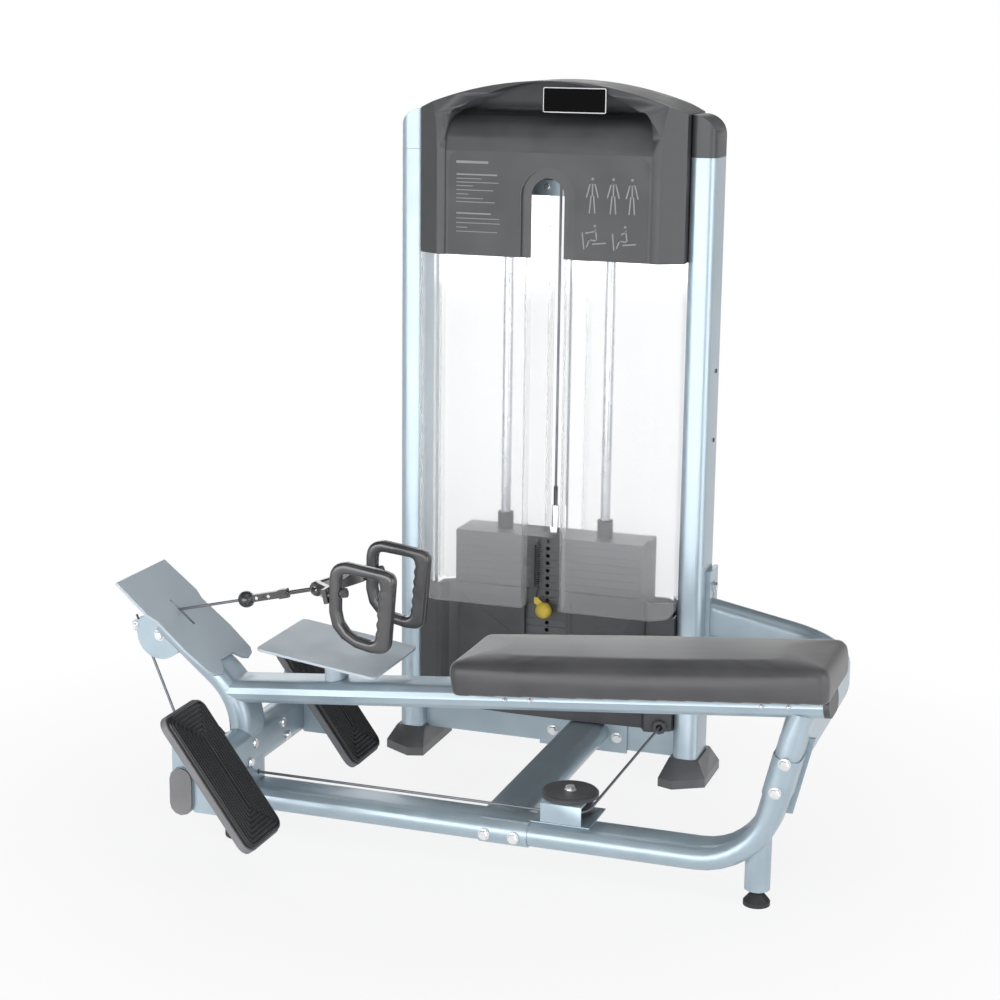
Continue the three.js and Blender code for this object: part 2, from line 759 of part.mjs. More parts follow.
function basePulleyBrackets() {
  const clear = PULLEY_HALF_WIDTH + SEAT_GAP;
  const back = REAR_PULLEY_Y - clear;
  const rearPlate = box(
    REAR_PULLEY_X - PULLEY_LINE / 2, REAR_PULLEY_X + PULLEY_LINE / 2,
    back - CHEEK, back,
    BASE_BOTTOM, REAR_PULLEY_Z + PULLEY_LINE / 2,
  );
  const rearFoot = box(
    REAR_PULLEY_X - PULLEY_LINE / 2, REAR_PULLEY_X + PULLEY_LINE / 2,
    BASE_DEPTH / 2 - JOIN, back,
    BASE_BOTTOM, BASE_BOTTOM + CHEEK,
  );
  const rearPin = rodY(REAR_PULLEY_X, REAR_PULLEY_Z, PIN_SHAFT, back - JOIN, REAR_PULLEY_Y + clear);
  const sideTop = CABLE_LEVEL - clear;
  const sidePlate = box(
    SIDE_PULLEY_X - PULLEY_LINE / 2, SIDE_PULLEY_X + PULLEY_LINE / 2,
    -BASE_DEPTH / 2, SIDE_PULLEY_Y + PULLEY_LINE / 2,
    BASE_TOP - JOIN, sideTop,
  );
  const sidePin = rodZ(
    SIDE_PULLEY_X, SIDE_PULLEY_Y, PIN_SHAFT,
    sideTop - JOIN, CABLE_LEVEL + clear + CHEEK,
  );
  return [rearPlate, rearFoot, rearPin, sidePlate, sidePin];
}

function makeTopBeam() {
  const half = POST_INNER_X - SEAT_GAP;
  const front = BEAM_FRONT;
  const back = BEAM_BACK;
  const section = pierced(
    rectangle(front, back, BEAM_BOTTOM, BEAM_TOP),
    rectangle(front + TUBE_WALL, back - TUBE_WALL, BEAM_BOTTOM + TUBE_WALL, BEAM_TOP - TUBE_WALL),
  );
  const tube = extrudeX(section, -half, half);
  const ears = [-ROD_X, ROD_X].map((x) => makeRodEar(x, front));
  const cheekGap = PULLEY_HALF_WIDTH + SEAT_GAP;
  const cheeks = [-1, 1].map((side) => {
    const inner = side * cheekGap;
    const outer = side * (cheekGap + CHEEK);
    return makeTopCheek(Math.min(inner, outer), Math.max(inner, outer));
  });
  const pin = rodX(PULLEY_LINE, TOP_PULLEY_Z, PIN_SHAFT, -cheekGap - CHEEK, cheekGap + CHEEK);
  return join(tube, ...ears, ...cheeks, pin);
}

function makeRodEar(x, front) {
  const ear = box(
    x - BEAM_EAR_WIDTH / 2, x + BEAM_EAR_WIDTH / 2,
    front - BEAM_EAR_DEPTH, front + JOIN,
    BEAM_BOTTOM, BEAM_BOTTOM + BEAM_EAR_HEIGHT,
  );
  const seat = rodZ(x, 0, ROD_RADIUS + SEAT_GAP, BEAM_BOTTOM - OVERRUN, BEAM_BOTTOM + ROD_SEAT_DEPTH, ROUND);
  return cut(ear, seat);
}

function makeTopCheek(x0, x1) {
  const shape = new THREE.Shape();
  const half = PULLEY_LINE / 2;
  shape.moveTo(PULLEY_LINE - half, BEAM_TOP - JOIN);
  shape.lineTo(PULLEY_LINE + half, BEAM_TOP - JOIN);
  shape.lineTo(PULLEY_LINE + half, TOP_PULLEY_Z);
  shape.absarc(PULLEY_LINE, TOP_PULLEY_Z, half, 0, Math.PI, false);
  return extrudeX(shape, x0, x1, COARSE);
}

// Weight stack: one profile of plates with a groove between each two
function stackBlock(topZ, count) {
  const front = PLATE_FRONT;
  const back = PLATE_BACK;
  const bottomZ = topZ - count * PLATE_PITCH;
  const edge = (y, inset, levels) => levels.map((z, i) => [y + (i % 4 === 1 || i % 4 === 2 ? inset : 0), z]);
  const levels = [];
  for (let k = 1; k < count; k += 1) {
    const seam = bottomZ + k * PLATE_PITCH;
    const half = PLATE_GROOVE_HEIGHT / 2;
    levels.push(seam - half, seam - half, seam + half, seam + half);
  }
  const frontEdge = edge(front, PLATE_GROOVE, levels);
  const backEdge = edge(back, -PLATE_GROOVE, levels);
  const outline = [[front, bottomZ], [back, bottomZ], ...backEdge, [back, topZ], [front, topZ], ...frontEdge.reverse()];
  const block = extrudeX(polygon(outline), -PLATE_HALF_WIDTH, PLATE_HALF_WIDTH);
  const bores = [-ROD_X, ROD_X].map((x) =>
    rodZ(x, 0, ROD_RADIUS + PLATE_ROD_CLEARANCE, bottomZ - OVERRUN, topZ + OVERRUN));
  const middle = rodZ(0, 0, SELECTOR_RADIUS + PLATE_ROD_CLEARANCE, bottomZ - OVERRUN, topZ + OVERRUN, FINE);
  const holes = [...Array(count).keys()].map((k) =>
    rodY(0, bottomZ + (k + 0.5) * PLATE_PITCH, PIN_HOLE_RADIUS, front - OVERRUN, 0, COARSE));
  return cut(block, ...bores, middle, ...holes);
}

const LIFTED_BOTTOM = STACK_TOP - LIFTED_COUNT * PLATE_PITCH;
const PIN_Z = LIFTED_BOTTOM + PLATE_PITCH / 2;
const HEAD_TOP = STACK_TOP + SEAT_GAP + HEAD_THICKNESS;
const FITTING_TOP = HEAD_TOP + FITTING_HEIGHT;
const SLEEVE_TOP = FITTING_TOP + SLEEVE_RISE;

function makeHeadPlate() {
  const front = PLATE_FRONT;
  const back = PLATE_BACK;
  const bottom = STACK_TOP + SEAT_GAP;
  const slab = box(-PLATE_HALF_WIDTH, PLATE_HALF_WIDTH, front, back, bottom, HEAD_TOP);
  const bores = [-ROD_X, ROD_X].map((x) =>
    rodZ(x, 0, ROD_RADIUS + PLATE_ROD_CLEARANCE, bottom - OVERRUN, HEAD_TOP + OVERRUN));
  const pinHole = rodY(0, bottom + HEAD_THICKNESS / 2, PIN_HOLE_RADIUS, front - OVERRUN, front + OVERRUN);
  const stud = rodY(
    LANYARD_X, bottom + HEAD_THICKNESS / 2, LANYARD_STUD_RADIUS,
    front - LANYARD_STUD_LENGTH, front + JOIN, COARSE,
  );
  return join(cut(slab, ...bores, pinHole), stud, ...selectorParts());
}

// The selector rod hangs below the head plate; nut, fitting and sleeve sit above it
function selectorParts() {
  const rodBottom = STACK_BOTTOM + PLATE_PITCH / 2;
  const rod = rodZ(0, 0, SELECTOR_RADIUS, rodBottom, HEAD_TOP);
  const holes = [...Array(PLATE_COUNT - 1).keys()].map((k) =>
    rodY(0, STACK_TOP - (k + 0.5) * PLATE_PITCH, PIN_HOLE_RADIUS, -PLATE_PITCH, PLATE_PITCH, COARSE));
  const nut = extrudeZ(hexagon(NUT_FLATS), HEAD_TOP - JOIN, HEAD_TOP + NUT_HEIGHT);
  const fitting = rodZ(0, 0, FITTING_RADIUS, HEAD_TOP, FITTING_TOP);
  const sleeve = rodZ(0, 0, SLEEVE_RADIUS, FITTING_TOP - JOIN, SLEEVE_TOP);
  return [cut(rod, ...holes), nut, fitting, sleeve];
}

function makeCollar() {
  const ring = pierced(circle(COLLAR_RADIUS), circle(ROD_RADIUS + PLATE_ROD_CLEARANCE));
  return extrudeZ(ring, HEAD_TOP + SEAT_GAP, HEAD_TOP + COLLAR_HEIGHT, FINE);
}

function makeCushion() {
  const strip = stadium(2 * (ROD_X + CUSHION_RADIUS), 2 * CUSHION_RADIUS);
  const bottom = BASE_TOP + SEAT_GAP;
  const top = STACK_BOTTOM - 2 * SEAT_GAP;
  const bores = [-ROD_X, ROD_X].map((x) =>
    rodZ(x, 0, ROD_RADIUS + PLATE_ROD_CLEARANCE, bottom - OVERRUN, top + OVERRUN));
  return cut(extrudeZ(strip, bottom, top), ...bores);
}

function makeSelectorPin() {
  const knob = new THREE.SphereGeometry(KNOB_RADIUS, KNOB_SIDES, KNOB_SIDES / 2);
  knob.translate(0, KNOB_OUT, PIN_Z);
  const shaft = rodY(0, PIN_Z, PIN_RADIUS, KNOB_OUT, SELECTOR_RADIUS, COARSE);
  const neck = rodY(0, PIN_Z, KNOB_NECK_RADIUS, KNOB_OUT, PLATE_FRONT - SEAT_GAP, COARSE);
  const tab = extrudeY(
    polygon([
      [LANYARD_X - KNOB_TAB_WIDTH / 2, PIN_Z + KNOB_TAB_HEIGHT],
      [LANYARD_X - KNOB_TAB_WIDTH / 2, PIN_Z + KNOB_TAB_HEIGHT / 2],
      [0, PIN_Z - KNOB_NECK_RADIUS / 2],
      [KNOB_NECK_RADIUS / 2, PIN_Z],
      [LANYARD_X + KNOB_TAB_WIDTH / 2, PIN_Z + KNOB_TAB_HEIGHT],
    ]),
    LANYARD_OUT - KNOB_TAB_THICKNESS / 2,
    LANYARD_OUT + KNOB_TAB_THICKNESS / 2,
  );
  return join(knob, shaft, neck, tab);
}

// Lanyard: a helix between two straight leads
function lanyardPoints() {
  const top = STACK_TOP + SEAT_GAP + HEAD_THICKNESS / 2 - LANYARD_STUD_RADIUS - SEAT_GAP;
  const bottom = PIN_Z + KNOB_TAB_HEIGHT + SEAT_GAP;
  const y = LANYARD_OUT;
  const stepsPerCurl = 8;
  const curlTop = top - LANYARD_LEAD;
  const curlBottom = curlTop - LANYARD_CURLS * LANYARD_PITCH;
  const points = [new THREE.Vector3(LANYARD_X, y, top)];
  for (let k = 0; k <= LANYARD_CURLS * stepsPerCurl; k += 1) {
    const a = (2 * Math.PI * k) / stepsPerCurl;
    const z = curlTop - (LANYARD_PITCH * k) / stepsPerCurl;
    const x = LANYARD_X + LANYARD_CURL_RADIUS * Math.cos(a);
    points.push(new THREE.Vector3(x, y + LANYARD_CURL_RADIUS * Math.sin(a), z));
  }
  points.push(new THREE.Vector3(LANYARD_X, y, Math.min(curlBottom - LANYARD_LEAD, bottom + LANYARD_LEAD)));
  points.push(new THREE.Vector3(LANYARD_X, y, bottom));
  return points;
}

function makeLanyard() {
  return sweep(pentagon(LANYARD_CORD), lanyardPoints());
}

function pentagon(radius) {
  const corners = [...Array(5).keys()].map((k) => (k * 2 * Math.PI) / 5);
  return polygon(corners.map((a) => [radius * Math.cos(a), radius * Math.sin(a)]));
}

// Least distance between turns of the coil, less the cord's own thickness
function leastGap(points, thickness, apart) {
  let least = Infinity;
  points.forEach((p, i) => {
    for (let j = i + apart; j < points.length; j += 1) {
      least = Math.min(least, p.distanceTo(points[j]) - thickness);
    }
  });
  return least;
}

// Top shroud: an arched front view, a chamfered plan and a rolled side view in common
function archShape(shrink, bottom) {
  const half = POST_INNER_X - SEAT_GAP - shrink;
  const rise = SHROUD_ARCH_RISE;
  const radius = (half * half + rise * rise) / (2 * rise);
  const end = SHROUD_ARCH_END - shrink;
  const sweepAngle = Math.asin(half / radius);
  const shape = new THREE.Shape();
  shape.moveTo(half, bottom);
  shape.lineTo(half, end);
  shape.absarc(0, end + rise - radius, radius, Math.PI / 2 - sweepAngle, Math.PI / 2 + sweepAngle, false);
  shape.lineTo(-half, bottom);
  return shape;
}

// Plan of one half of the tower's covers, from the front face back to the seam
function coverPlan(shrink, seam) {
  const half = POST_INNER_X - SEAT_GAP - shrink;
  const corner = SHROUD_CORNER_X - shrink / 2;
  const front = SHROUD_FRONT + shrink;
  const side = front + SHROUD_CHAMFER_Y;
  return polygon([[-half, side], [-corner, front], [corner, front], [half, side], [half, seam], [-half, seam]]);
}

function sideProfile(shrink, bottom, seam) {
  const front = SHROUD_FRONT + shrink;
  const top = TOWER_TOP + OVERRUN - shrink;
  const shape = new THREE.Shape();
  shape.moveTo(front, bottom);
  shape.lineTo(seam, bottom);
  shape.lineTo(seam, top);
  shape.lineTo(front + SHROUD_BROW, top);
  shape.quadraticCurveTo(front, ROLL_TOP, front, ROLL_START);
  return shape;
}

function shroudBody(shrink, bottom, seam) {
  const front = SHROUD_FRONT - OVERRUN;
  const half = POST_OUTER_X;
  return common(
    extrudeY(archShape(shrink, bottom), front, seam, FINE * 2),
    extrudeZ(coverPlan(shrink, seam), bottom, TOWER_TOP + OVERRUN),
    extrudeX(sideProfile(shrink, bottom, seam), -half, half, MEDIUM),
  );
}

// The recess round the panel, the roll above it and the eye-shaped pocket under the hood
function recessTool(grow) {
  const front = SHROUD_FRONT;
  const half = RECESS_HALF + grow;
  const corner = RECESS_EYE_Z + grow;
  const eye = new THREE.Shape();
  eye.moveTo(-half, SHROUD_BOTTOM - OVERRUN);
  eye.lineTo(half, SHROUD_BOTTOM - OVERRUN);
  eye.lineTo(half, RECESS_SHOULDER);
  eye.quadraticCurveTo(half, corner, RECESS_EYE_HALF, corner);
  eye.quadraticCurveTo(RECESS_EYE_HALF / 2, TOWER_TOP + grow, 0, TOWER_TOP - SHROUD_WALL / 2 + grow);
  eye.quadraticCurveTo(-RECESS_EYE_HALF / 2, TOWER_TOP + grow, -RECESS_EYE_HALF, corner);
  eye.quadraticCurveTo(-half, corner, -half, RECESS_SHOULDER);
  const face = front + RECESS_DEPTH + grow;
  const rollTop = ROLL_TOP - grow;
  const rollEnd = front + ROLL_DEPTH + grow;
  const backWall = rollEnd + SHELF_BACK;
  const side = new THREE.Shape();
  side.moveTo(front - OVERRUN, SHROUD_BOTTOM - OVERRUN);
  side.lineTo(face, SHROUD_BOTTOM - OVERRUN);
  side.lineTo(face, ROLL_START);
  side.quadraticCurveTo(face, rollTop, rollEnd, rollTop);
  side.lineTo(rollEnd, rollTop + SHELF_RISE);
  side.lineTo(backWall, rollTop + SHELF_RISE);
  side.lineTo(backWall + SHELF_RISE, TOWER_TOP + OVERRUN);
  side.lineTo(front - OVERRUN, TOWER_TOP + OVERRUN);
  return common(
    extrudeY(eye, front - OVERRUN, SHROUD_SEAM, FINE),
    extrudeX(side, -half - OVERRUN, half + OVERRUN, MEDIUM),
  );
}

function slotShape(half, top) {
  const shape = new THREE.Shape();
  shape.moveTo(-half, SHROUD_BOTTOM - OVERRUN);
  shape.lineTo(half, SHROUD_BOTTOM - OVERRUN);
  shape.lineTo(half, top - half);
  shape.absarc(0, top - half, half, 0, Math.PI, false);
  return shape;
}

// Room for the top cross beam where it passes through the shroud's side walls
function beamRoom() {
  return box(
    -POST_OUTER_X, POST_OUTER_X,
    BEAM_FRONT - SEAT_GAP, BEAM_BACK + SEAT_GAP,
    BEAM_BOTTOM - SEAT_GAP, BEAM_TOP + SEAT_GAP,
  );
}

function makeFrontShroud() {
  const front = SHROUD_FRONT;
  const seam = SHROUD_SEAM - SEAT_GAP / 2;
  const hollow = shroudBody(SHROUD_WALL, SHROUD_BOTTOM - OVERRUN, seam + OVERRUN);
  const room = cut(hollow, recessTool(SHROUD_WALL));
  const panelFace = front + RECESS_DEPTH;
  const rim = extrudeY(
    slotShape(SLOT_HALF + SLOT_RIM, SLOT_TOP + SLOT_RIM),
    front - OVERRUN, panelFace + SLOT_RIM_DEPTH, FINE,
  );
  const rimBack = extrudeY(
    slotShape(SLOT_HALF + SLOT_RIM + SHROUD_WALL, SLOT_TOP + SLOT_RIM + SHROUD_WALL),
    front - OVERRUN, panelFace + SLOT_RIM_DEPTH + SHROUD_WALL, FINE,
  );
  const opening = extrudeY(slotShape(SLOT_HALF, SLOT_TOP), front - OVERRUN, front + ROLL_DEPTH, FINE);
  const whole = cut(shroudBody(0, SHROUD_BOTTOM, seam), recessTool(0), rim);
  return cut(whole, cut(room, rimBack), opening, beamRoom());
}

function makeBackShroud() {
  const seam = -SHROUD_SEAM - SEAT_GAP / 2;
  const shell = cut(
    shroudBody(0, BEAM_BOTTOM, seam),
    shroudBody(SHROUD_WALL, BEAM_BOTTOM - OVERRUN, seam + OVERRUN),
  );
  return cut(mirrored(shell, "y"), beamRoom());
}

function makeScreen(top) {
  const front = SHROUD_FRONT;
  const end = POST_INNER_X - SEAT_GAP;
  const plan = bentSheet([
    [end, -SHROUD_SEAM - SEAT_GAP],
    [end, front + SHROUD_CHAMFER_Y],
    [SHROUD_CORNER_X, front],
    [SCREEN_SLOT_HALF + SCREEN_WALL, front],
    [SCREEN_SLOT_HALF, front + SCREEN_WALL],
    [SCREEN_SLOT_HALF, front + SCREEN_LIP],
  ], -SCREEN_WALL);
  const sheet = extrudeZ(plan, SCREEN_BOTTOM, top - SEAT_GAP);
  const corner = new THREE.Shape();
  corner.moveTo(end + OVERRUN, SCREEN_BOTTOM - OVERRUN);
  corner.lineTo(end + OVERRUN, SCREEN_BOTTOM + SCREEN_CORNER);
  corner.lineTo(end, SCREEN_BOTTOM + SCREEN_CORNER);
  corner.absarc(end - SCREEN_CORNER, SCREEN_BOTTOM + SCREEN_CORNER, SCREEN_CORNER, 0, -Math.PI / 2, true);
  corner.lineTo(end - SCREEN_CORNER, SCREEN_BOTTOM - OVERRUN);
  return cut(sheet, extrudeY(corner, front - OVERRUN, 0, COARSE));
}

// Lower shroud: a folded moulding with wings, a recessed middle, a slot and a drooping lip
function makeFrontLowerShroud() {
  const end = POST_INNER_X - SEAT_GAP;
  const wing = LOWER_WING;
  const face = LOWER_RECESS;
  const line = [
    [end, POST_ROUND - POST_DEPTH / 2],
    [end, face],
    [LOWER_WING_X + LOWER_DROOP, wing],
    [LOWER_WING_X, wing],
    [LOWER_WING_X - LOWER_DROOP, face],
  ];
  const back = line.map(([x, y]) => [-x, y]).reverse();
  const plan = bentSheet([...line, ...back], -LOWER_WALL);
  const sheet = extrudeZ(plan, LOWER_BOTTOM, LOWER_TOP);
  const slot = box(-LOWER_SLOT_HALF, LOWER_SLOT_HALF, wing - OVERRUN, 0, LOWER_SLOT_BOTTOM, LOWER_TOP + OVERRUN);
  const screenInside = end - SCREEN_WALL - SEAT_GAP;
  const screenRoom = box(screenInside, POST_X, wing, 0, SCREEN_BOTTOM - SEAT_GAP, LOWER_TOP + OVERRUN);
  const boss = rodY(OUTLET_X, CABLE_LEVEL, OUTLET_BOSS, wing, face + LOWER_WALL);
  const bore = rodY(OUTLET_X, CABLE_LEVEL, OUTLET_RADIUS, wing - OVERRUN, 0);
  const trimmed = cut(sheet, slot, screenRoom, mirrored(screenRoom, "x"));
  return cut(join(trimmed, boss, makeLip(face)), bore, ...makeFacets(face));
}

// The lip under the recess curves down towards its middle
function makeLip(face) {
  const half = LOWER_WING_X - LOWER_DROOP;
  const shape = new THREE.Shape();
  shape.moveTo(-half, LOWER_BOTTOM + LOWER_WALL);
  shape.lineTo(-half, LOWER_BOTTOM);
  shape.quadraticCurveTo(0, LOWER_BOTTOM - LOWER_DROOP / 2, half, LOWER_BOTTOM);
  shape.lineTo(half, LOWER_BOTTOM + LOWER_WALL);
  return extrudeY(shape, face, face + LOWER_WALL, FINE);
}

// Shallow three-sided dents beside the slot, as pressed into the moulding
function makeFacets(face) {
  const near = LOWER_SLOT_HALF + LOWER_DROOP;
  const far = LOWER_WING_X - 3 * LOWER_DROOP;
  const dents = [
    [[near, LOWER_TOP - 2 * LOWER_DROOP], [far, LOWER_TOP - 2 * LOWER_DROOP], [near, SCREEN_BOTTOM - 7 * LOWER_DROOP]],
    [[far, SCREEN_BOTTOM - LOWER_DROOP], [far, LOWER_SLOT_BOTTOM], [near + 2 * LOWER_DROOP, LOWER_SLOT_BOTTOM]],
  ];
  const dentDepth = LOWER_WALL / 2;
  const right = dents.map((points) => extrudeY(polygon(points), face - OVERRUN, face + dentDepth));
  return [...right, ...right.map((dent) => mirrored(dent, "x"))];
}

function makeBackLowerShroud() {
  const front = SHROUD_FRONT;
  const end = POST_INNER_X - SEAT_GAP;
  const line = [
    [end, POST_ROUND - POST_DEPTH / 2],
    [end, front + SHROUD_CHAMFER_Y],
    [SHROUD_CORNER_X, front],
  ];
  const back = line.map(([x, y]) => [-x, y]).reverse();
  const plan = bentSheet([...line, ...back], -LOWER_WALL);
  return mirrored(extrudeZ(plan, BASE_TOP + SEAT_GAP, LOWER_BACK_TOP), "y");
}

// Pulley: a grooved wheel on a bore, its axis along Y
function makePulley() {
  const w = PULLEY_HALF_WIDTH;
  const floor = PULLEY_LINE - CABLE_RADIUS - SEAT_GAP;
  const profile = [
    [PIN_SHAFT + SEAT_GAP, -w],
    [PULLEY_FLANGE - PULLEY_RIM, -w],
    [PULLEY_FLANGE, -w + PULLEY_RIM],
    [floor, -CABLE_RADIUS - SEAT_GAP],
    [floor, CABLE_RADIUS + SEAT_GAP],
    [PULLEY_FLANGE, w - PULLEY_RIM],
    [PULLEY_FLANGE - PULLEY_RIM, w],
    [PIN_SHAFT + SEAT_GAP, w],
    [PIN_SHAFT + SEAT_GAP, -w],
  ];
  return new THREE.LatheGeometry(profile.map(([r, y]) => new THREE.Vector2(r, y)), PULLEY_SIDES);
}

// A tall stadium has its long side on the second axis
function tallStadium(long, short) {
  const r = short / 2;
  const run = long / 2 - r;
  const shape = new THREE.Shape();
  shape.absarc(0, run, r, 0, Math.PI, false);
  shape.absarc(0, -run, r, Math.PI, 2 * Math.PI, false);
  shape.closePath();
  return shape;
}

function wideTube(grow = 0) {
  return stepped(stadium(TUBE_LONG + 2 * grow, TUBE_SHORT + 2 * grow));
}

function tallTube(grow = 0) {
  return stepped(tallStadium(TUBE_LONG + 2 * grow, TUBE_SHORT + 2 * grow));
}

// Foot end: lower post, foot beam and upright, each coped on the next
function postBody(grow, from, to) {
  return extrudeZ(tallTube(grow), from, to).translate(FOOT_X, 0, 0);
}

function beamBody(grow, half) {
  return extrudeY(tallTube(grow), -half, half).translate(FOOT_X, 0, FOOT_BEAM_Z);
}

function uprightLine(from, to) {
  const turn = THREE.MathUtils.degToRad(UPRIGHT_DEG);
  const bend = arc([FOOT_X - BEND_RADIUS, UPRIGHT_BEND_Z], BEND_RADIUS, 0, UPRIGHT_DEG, BEND_STEPS);
  const [x, z] = bend[bend.length - 1];
  const end = [x - to * Math.sin(turn), z + to * Math.cos(turn)];
  return [[FOOT_X, from], ...bend, end];
}

function makeLowerPost() {
  const tube = cut(
    postBody(0, BOOT_FLOOR + SEAT_GAP, FOOT_BEAM_Z),
    postBody(-TUBE_WALL, 0, FOOT_BEAM_Z + OVERRUN),
    beamBody(SEAT_GAP, FOOT_BEAM_HALF),
  );
  const reach = TUBE_SHORT;
  const hole = rodX(0, CABLE_LEVEL, POST_HOLE_RADIUS, FOOT_X - reach, FOOT_X + reach);
  return cut(tube, hole);
}

function makeRoundFoot() {
  const boot = extrudeZ(tallStadium(BOOT_LONG, BOOT_SHORT), 0, BOOT_HEIGHT, FINE);
  boot.translate(FOOT_X, 0, 0);
  return cut(boot, postBody(SEAT_GAP, BOOT_FLOOR, BOOT_HEIGHT + OVERRUN));
}

function makeFootBeam() {
  const tube = cut(beamBody(0, FOOT_BEAM_HALF), beamBody(-TUBE_WALL, FOOT_BEAM_HALF + OVERRUN));
  const [x, z] = FOOT_PULLEY;
  const cheek = new THREE.Shape();
  cheek.moveTo(FOOT_X - TUBE_SHORT / 2 + JOIN, FOOT_BEAM_Z - FOOT_CHEEK_HALF);
  cheek.lineTo(FOOT_X - TUBE_SHORT / 2 + JOIN, FOOT_BEAM_Z + FOOT_CHEEK_HALF);
  cheek.lineTo(x, z + FOOT_CHEEK_NOSE);
  cheek.absarc(x, z, FOOT_CHEEK_NOSE, Math.PI / 2, (3 * Math.PI) / 2, false);
  return join(tube, ...cheekPair(cheek), pulleyPin(x, z));
}

// Two cheeks either side of a pulley whose axis runs along Y, and the pin through them
function cheekPair(shape) {
  const gap = PULLEY_HALF_WIDTH + SEAT_GAP;
  const far = extrudeY(shape, gap, gap + CHEEK);
  return [far, mirrored(far, "y")];
}

function pulleyPin(x, z) {
  const reach = PULLEY_HALF_WIDTH + SEAT_GAP + CHEEK;
  return rodY(x, z, PIN_SHAFT, -reach, reach);
}

function makeBeamCap() {
  return extrudeY(tallTube(-BEAM_CAP_INSET / 2), 0, BEAM_CAP_THICKNESS);
}

function makeUpright() {
  const line = uprightLine(FOOT_BEAM_Z, UPRIGHT_TOP_RUN);
  const inner = uprightLine(FOOT_BEAM_Z - OVERRUN, UPRIGHT_TOP_RUN + OVERRUN);
  const tube = cut(
    bentTube(wideTube(), line),
    bentTube(wideTube(-TUBE_WALL), inner),
    beamBody(SEAT_GAP, FOOT_BEAM_HALF),
  );
  const half = PULLEY_HALF_WIDTH + SEAT_GAP;
  const slot = box(
    -OVERRUN, HEEL_SLOT_RUN,
    -half, half,
    -TUBE_SHORT, TUBE_SHORT,
  );
  const slope = THREE.MathUtils.degToRad(SLOPE_DEG);
  const [x, z] = line[line.length - 1];
  slot.rotateY(slope).translate(x, 0, z);
  return join(cut(tube, slot), ...cheekPair(heelCheek(x, z, slope)), pulleyPin(...HEEL_PULLEY));
}

// A cheek that reaches from inside the upright round the pulley pin and its keeper bolt
function heelCheek(x, z, slope) {
  const [px, pz] = HEEL_PULLEY;
  const [kx, kz] = HEEL_KEEPER;
  const along = (run, drop) => [
    x + run * Math.cos(slope) - drop * Math.sin(slope),
    z - run * Math.sin(slope) - drop * Math.cos(slope),
  ];
  const [ax, az] = along(0, 0);
  const [bx, bz] = along(HEEL_SLOT_RUN, TUBE_SHORT / 2 - TUBE_WALL / 2);
  const [cx, cz] = along(HEEL_SLOT_RUN, 0);
  const shape = new THREE.Shape();
  shape.moveTo(cx, cz);
  shape.lineTo(ax, az);
  shape.lineTo(kx, kz + HEEL_KEEPER_RADIUS);
  shape.absarc(kx, kz, HEEL_KEEPER_RADIUS, Math.PI / 2, (3 * Math.PI) / 2, false);
  shape.lineTo(px - HEEL_CHEEK_RADIUS / 2, pz - HEEL_CHEEK_RADIUS);
  shape.absarc(px, pz, HEEL_CHEEK_RADIUS, (-2 * Math.PI) / 3, 0, false);
  shape.lineTo(bx, bz);
  return shape;
}

// Slope plate: its own frame starts at the upper edge, X down the slope, Z out of the face
function makeSlopePlate() {
  const half = SLOPE_OUTLINE.map(([s, y]) => [s * SLOPE_LENGTH, y * SLOPE_HALF_WIDTH]);
  const near = half.map(([s, y]) => [s, -y]);
  const outline = [...near, ...half.reverse()];
  const plate = extrudeZ(polygon(outline), -SLOPE_THICKNESS, 0);
  const slot = stadium(SLOPE_SLOT_END - SLOPE_SLOT_START, SLOPE_SLOT_WIDTH);
  const middle = (SLOPE_SLOT_START + SLOPE_SLOT_END) / 2;
  const slotTool = extrudeZ(slot, -OVERRUN, OVERRUN).translate(middle, 0, 0);
  return cut(plate, slotTool);
}

// Pedals: frame at the top edge of the tread, X down the slope, Z out of the tread
const PEDAL_RUN = Math.hypot(PEDAL_BOTTOM[0] - PEDAL_TOP[0], PEDAL_BOTTOM[1] - PEDAL_TOP[1]);
const PEDAL_ANGLE = Math.atan2(PEDAL_TOP[1] - PEDAL_BOTTOM[1], PEDAL_BOTTOM[0] - PEDAL_TOP[0]);
const PEDAL_Y = FOOT_BEAM_HALF + PEDAL_OVERHANG - PEDAL_WIDTH / 2;

function pedalSlab(inset, from, to) {
  const shape = roundedBox(PEDAL_RUN - 2 * inset, PEDAL_WIDTH - 2 * inset, PEDAL_CORNER - inset);
  return extrudeZ(shape, from, to, COARSE).translate(PEDAL_RUN / 2, 0, 0);
}

function makeFootPlate() {
  const slab = pedalSlab(0, -PEDAL_PLATE - PEDAL_TREAD, -PEDAL_TREAD - SEAT_GAP);
  slab.rotateY(PEDAL_ANGLE).translate(PEDAL_TOP[0], 0, PEDAL_TOP[1]);
  const reach = PEDAL_WIDTH / 2 - GUSSET_INSET;
  const gussets = [reach - GUSSET_THICKNESS, -reach].map((y) =>
    extrudeY(polygon(GUSSET_OUTLINE), y, y + GUSSET_THICKNESS));
  const beam = beamBody(SEAT_GAP, FOOT_BEAM_HALF);
  return join(slab, ...gussets.map((gusset) => cut(gusset, beam)));
}

function makeTread() {
  const slab = pedalSlab(PEDAL_TREAD_INSET, -PEDAL_TREAD, 0);
  const grooves = [...Array(TREAD_GROOVES).keys()].map((k) => makeGroove(k));
  return cut(slab, ...grooves);
}

